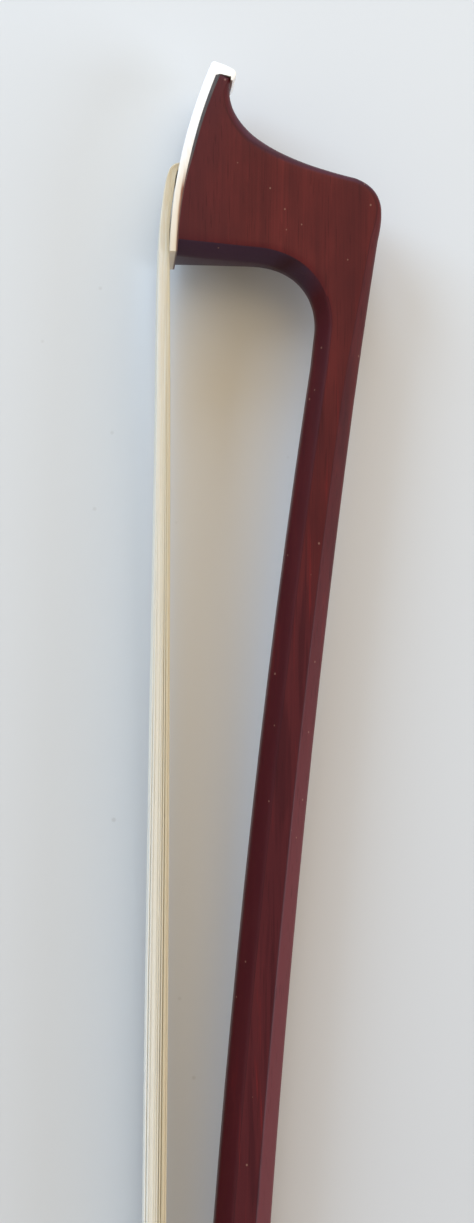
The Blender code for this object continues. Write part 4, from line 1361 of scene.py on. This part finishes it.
button = {
    "half": 4.45,
    "coreHalf": 4.36,
    "groove": 0.09,
    "front": 54.8,  # handle places where its three parts meet
    "core": 58.5,
    "cap": 65.25,
    "end": 68.39,
    "corner": 1.07,
    "eyeRadius": 2.45,
    "around": 64,
    "screwRadius": 1.4,
    "screwStart": -15.4,
    "threadEnd": 34.0,
    "screwEnd": 63.8,
    "pitch": 0.7,  # the frog's travel in one turn
    "threadDepth": 0.2,
    "ringsPerTurn": 8,
    "screwSides": 20,
}


def barRing(u, half, most, count):
    ring = []
    for turn in roundTurns(count):
        reach = octagonReach(turn, half, most)
        ring.append(frogPoint(u, reach * math.cos(turn), reach * math.sin(turn)))
    return ring


def turnedBar(name, line, finish, replaces):
    rings = [barRing(u, half, most, button["around"]) for u, half, most in line]
    addPiece(name, joinRings(rings), finish, "button", replaces, 24.0)


def octagonLine(half, stops, start=0.0):  # stops: place, and how far off the half width
    return [(start + at, half + off, button["corner"]) for at, off in stops]


def roundLine(stops):
    return [(u, radius, 1.0) for u, radius in stops]


def makeButton():
    front, core, cap, end = (button[key] for key in ("front", "core", "cap", "end"))
    half, coreHalf, eye = button["half"], button["coreHalf"], button["eyeRadius"]
    cut, groove = -button["groove"], core - 1.1  # one fine groove round each collar
    stops = [(front, -0.35), (front + 0.12, -0.12), (front + 0.32, 0.0), (groove - 0.14, 0.0)]
    stops += [(groove - 0.05, cut), (groove + 0.05, cut), (groove + 0.14, 0.0)]
    line = octagonLine(half, stops + [(core - 0.15, 0.0), (core, -0.1)])
    turnedBar("buttonCollarFront", line, "nickel_silver", ["button_collar_front"])
    stops = [(core + 0.01, -0.1), (core + 0.12, 0.0), (cap - 0.14, 0.0), (cap - 0.02, -0.1)]
    turnedBar("buttonCore", octagonLine(coreHalf, stops), "ebony", ["button_core"])
    stops = [(0.0, -0.1), (0.15, 0.0), (0.7, 0.0), (0.79, cut), (0.89, cut), (0.98, 0.0)]
    line = octagonLine(half, stops, cap)
    line += octagonLine(half, [(-0.75, 0.0), (-0.4, -0.14), (-0.12, -0.45), (0.0, -0.85)], end)
    line += roundLine([(end, eye + 0.14), (end - 0.08, eye + 0.02), (end - 0.6, eye + 0.02)])
    turnedBar("buttonCollarBack", line, "nickel_silver", ["button_collar_back"])
    line = [(end - 0.6, eye), (end - 0.2, eye), (end - 0.12, eye - 0.12)]
    line += [(end - 0.06, eye * 0.6), (end - 0.04, 0.25)]
    turnedBar("buttonEye", roundLine(line), "pearl_shell", ["button_eye"])


def makeScrew():
    radius, pitch = button["screwRadius"], button["pitch"]
    start, threadEnd = button["screwStart"], button["threadEnd"]
    steps = round((threadEnd - start) / pitch * button["ringsPerTurn"])
    count = button["screwSides"]
    rings = []
    for i in range(steps + 1):
        u = lerp(start, threadEnd, i / steps)
        fade = smoothStep((threadEnd - u) / 1.5)
        point = smoothStep((u - start) / 1.2)
        ring = []
        for turn in roundTurns(count):
            wave = (u / pitch - turn / math.tau) % 1.0
            depth = (1.0 - abs(wave * 2.0 - 1.0)) * button["threadDepth"] * fade
            reach = (radius - depth) * lerp(0.75, 1.0, point)
            ring.append(frogPoint(u, reach * math.cos(turn), reach * math.sin(turn)))
        rings.append(ring)
    for u, reach in ((threadEnd + 0.2, radius), (button["screwEnd"], radius)):
        rings.append(barRing(u, reach, 1.0, count))
    addPiece("threadedScrew", joinRings(rings), "steel", "button", ["screw"], 40.0)


makeButton()
makeScrew()
print("button and screw made")


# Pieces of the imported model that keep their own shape

dressed = {
    "maple": ["head_plug", "spread_wedge", "frog_plug"],
    "ebony": ["slide_backing"],
    "brass": ["eyelet"],
}


def dressNodes():
    for finish, names in dressed.items():
        for name in names:
            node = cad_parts[name]
            for slot in node.material_slots:
                slot.material = finishes[finish]
            soften = node.modifiers.new("brokenEdges", "BEVEL")
            soften.width = 0.1 * bow["mm"]
            soften.segments = 2
            soften.limit_method = "ANGLE"


dressNodes()
print("carried pieces dressed")


# Floor and light

floor = {
    "size": 16.0,
    "colour": fromSrgb(226, 228, 228),
    "cloud": fromSrgb(214, 216, 217),
    "paintedFalloff": fromSrgb(212, 213, 213),
    "fade": (-30.0, 110.0),  # painted light falloff: it darkens a little between these places along the bow
    "speck": fromSrgb(176, 172, 166),
}


def makeFloor():
    finish = Finish("pale floor", Roughness=0.55)
    dust = finish.cells((0.12, 0.12, 0.12))
    specks = finish.between(dust, 0.045, 0.02)
    clouds = finish.noise((0.01, 0.01, 0.01), 3.0)
    tint = finish.mix(clouds * 0.2, floor["colour"], floor["cloud"])
    x = finish.axis(finish.place(), "X") + bow["centre"].x
    # painted light falloff along the bow
    tint = finish.mix(finish.between(x, *floor["fade"]), tint, floor["paintedFalloff"])
    finish.put("Base Color", finish.mix(specks * 0.35, tint, floor["speck"]))
    mesh = bpy.data.meshes.new("floor")
    half = floor["size"] / 2
    corners = [(-half, -half, 0), (half, -half, 0), (half, half, 0), (-half, half, 0)]
    mesh.from_pydata(corners, [], [(0, 1, 2, 3)])
    mesh.materials.append(finish.material)
    addObject("floor", mesh)


# cool daylight round a warm lamp, with a small lamp for the handle's end: place, what it
# is aimed over, size, power, tint and spread
lights = {
    "window": ((-1000, -1000, 700), None, 1.0, 18.4, (0.53, 0.74, 1.0), 180),
    "frontPanel": ((-1600, -120, 660), None, 0.8, 15.6, (0.47, 0.7, 1.0), 180),
    "backPanel": ((520, 1520, 840), None, 1.0, 12.8, (0.66, 0.8, 1.0), 180),
    "ceiling": ((-840, 460, 1240), None, 1.8, 8.8, (1.0, 0.74, 0.42), 180),
    "bench": ((560, -160, 620), (560, 12), 0.4, 0.3, (0.95, 0.97, 1.0), 62),
}


def addLights():
    middle = toWorld((20.0, 10.0, bow["centre"].z))
    for name, (place, over, size, power, tint, spread) in lights.items():
        lamp = bpy.data.lights.new(name, "AREA")
        lamp.shape = "DISK"
        lamp.size, lamp.energy, lamp.color = size, power, tint
        lamp.spread = math.radians(spread)
        made = addObject(name, lamp)
        made.location = middle + Vector(place) * bow["mm"]
        aim = toWorld((*over, bow["centre"].z)) if over else middle
        made.rotation_euler = (aim - made.location).to_track_quat("-Z", "Y").to_euler()


room = {
    "tint": (1.0, 0.86, 0.68, 1.0),
    "strength": 0.41,
}


def addWorld():  # a soft room, seen as plain white behind the floor
    world = bpy.data.worlds.new("studio")
    sky = Finish("studio", world)
    soft = sky.node("Background", None, {"Color": room["tint"], "Strength": room["strength"]})
    white = sky.node("Background", None, {"Color": (1.0, 1.0, 1.0, 1.0), "Strength": 1.0})
    seen = sky.node("LightPath", output="Is Camera Ray")
    for ray in ("Is Glossy Ray", "Is Transmission Ray"):
        seen = seen + sky.node("LightPath", output=ray)
    mixed = sky.node("MixShader", None, {0: seen, 1: soft, 2: white})
    sky.tree.links.new(mixed.socket, sky.tree.nodes["World Output"].inputs["Surface"])
    bpy.context.scene.world = world


makeFloor()
addLights()
addWorld()
bpy.context.scene.view_settings.view_transform = "Standard"
print("floor and lights made")
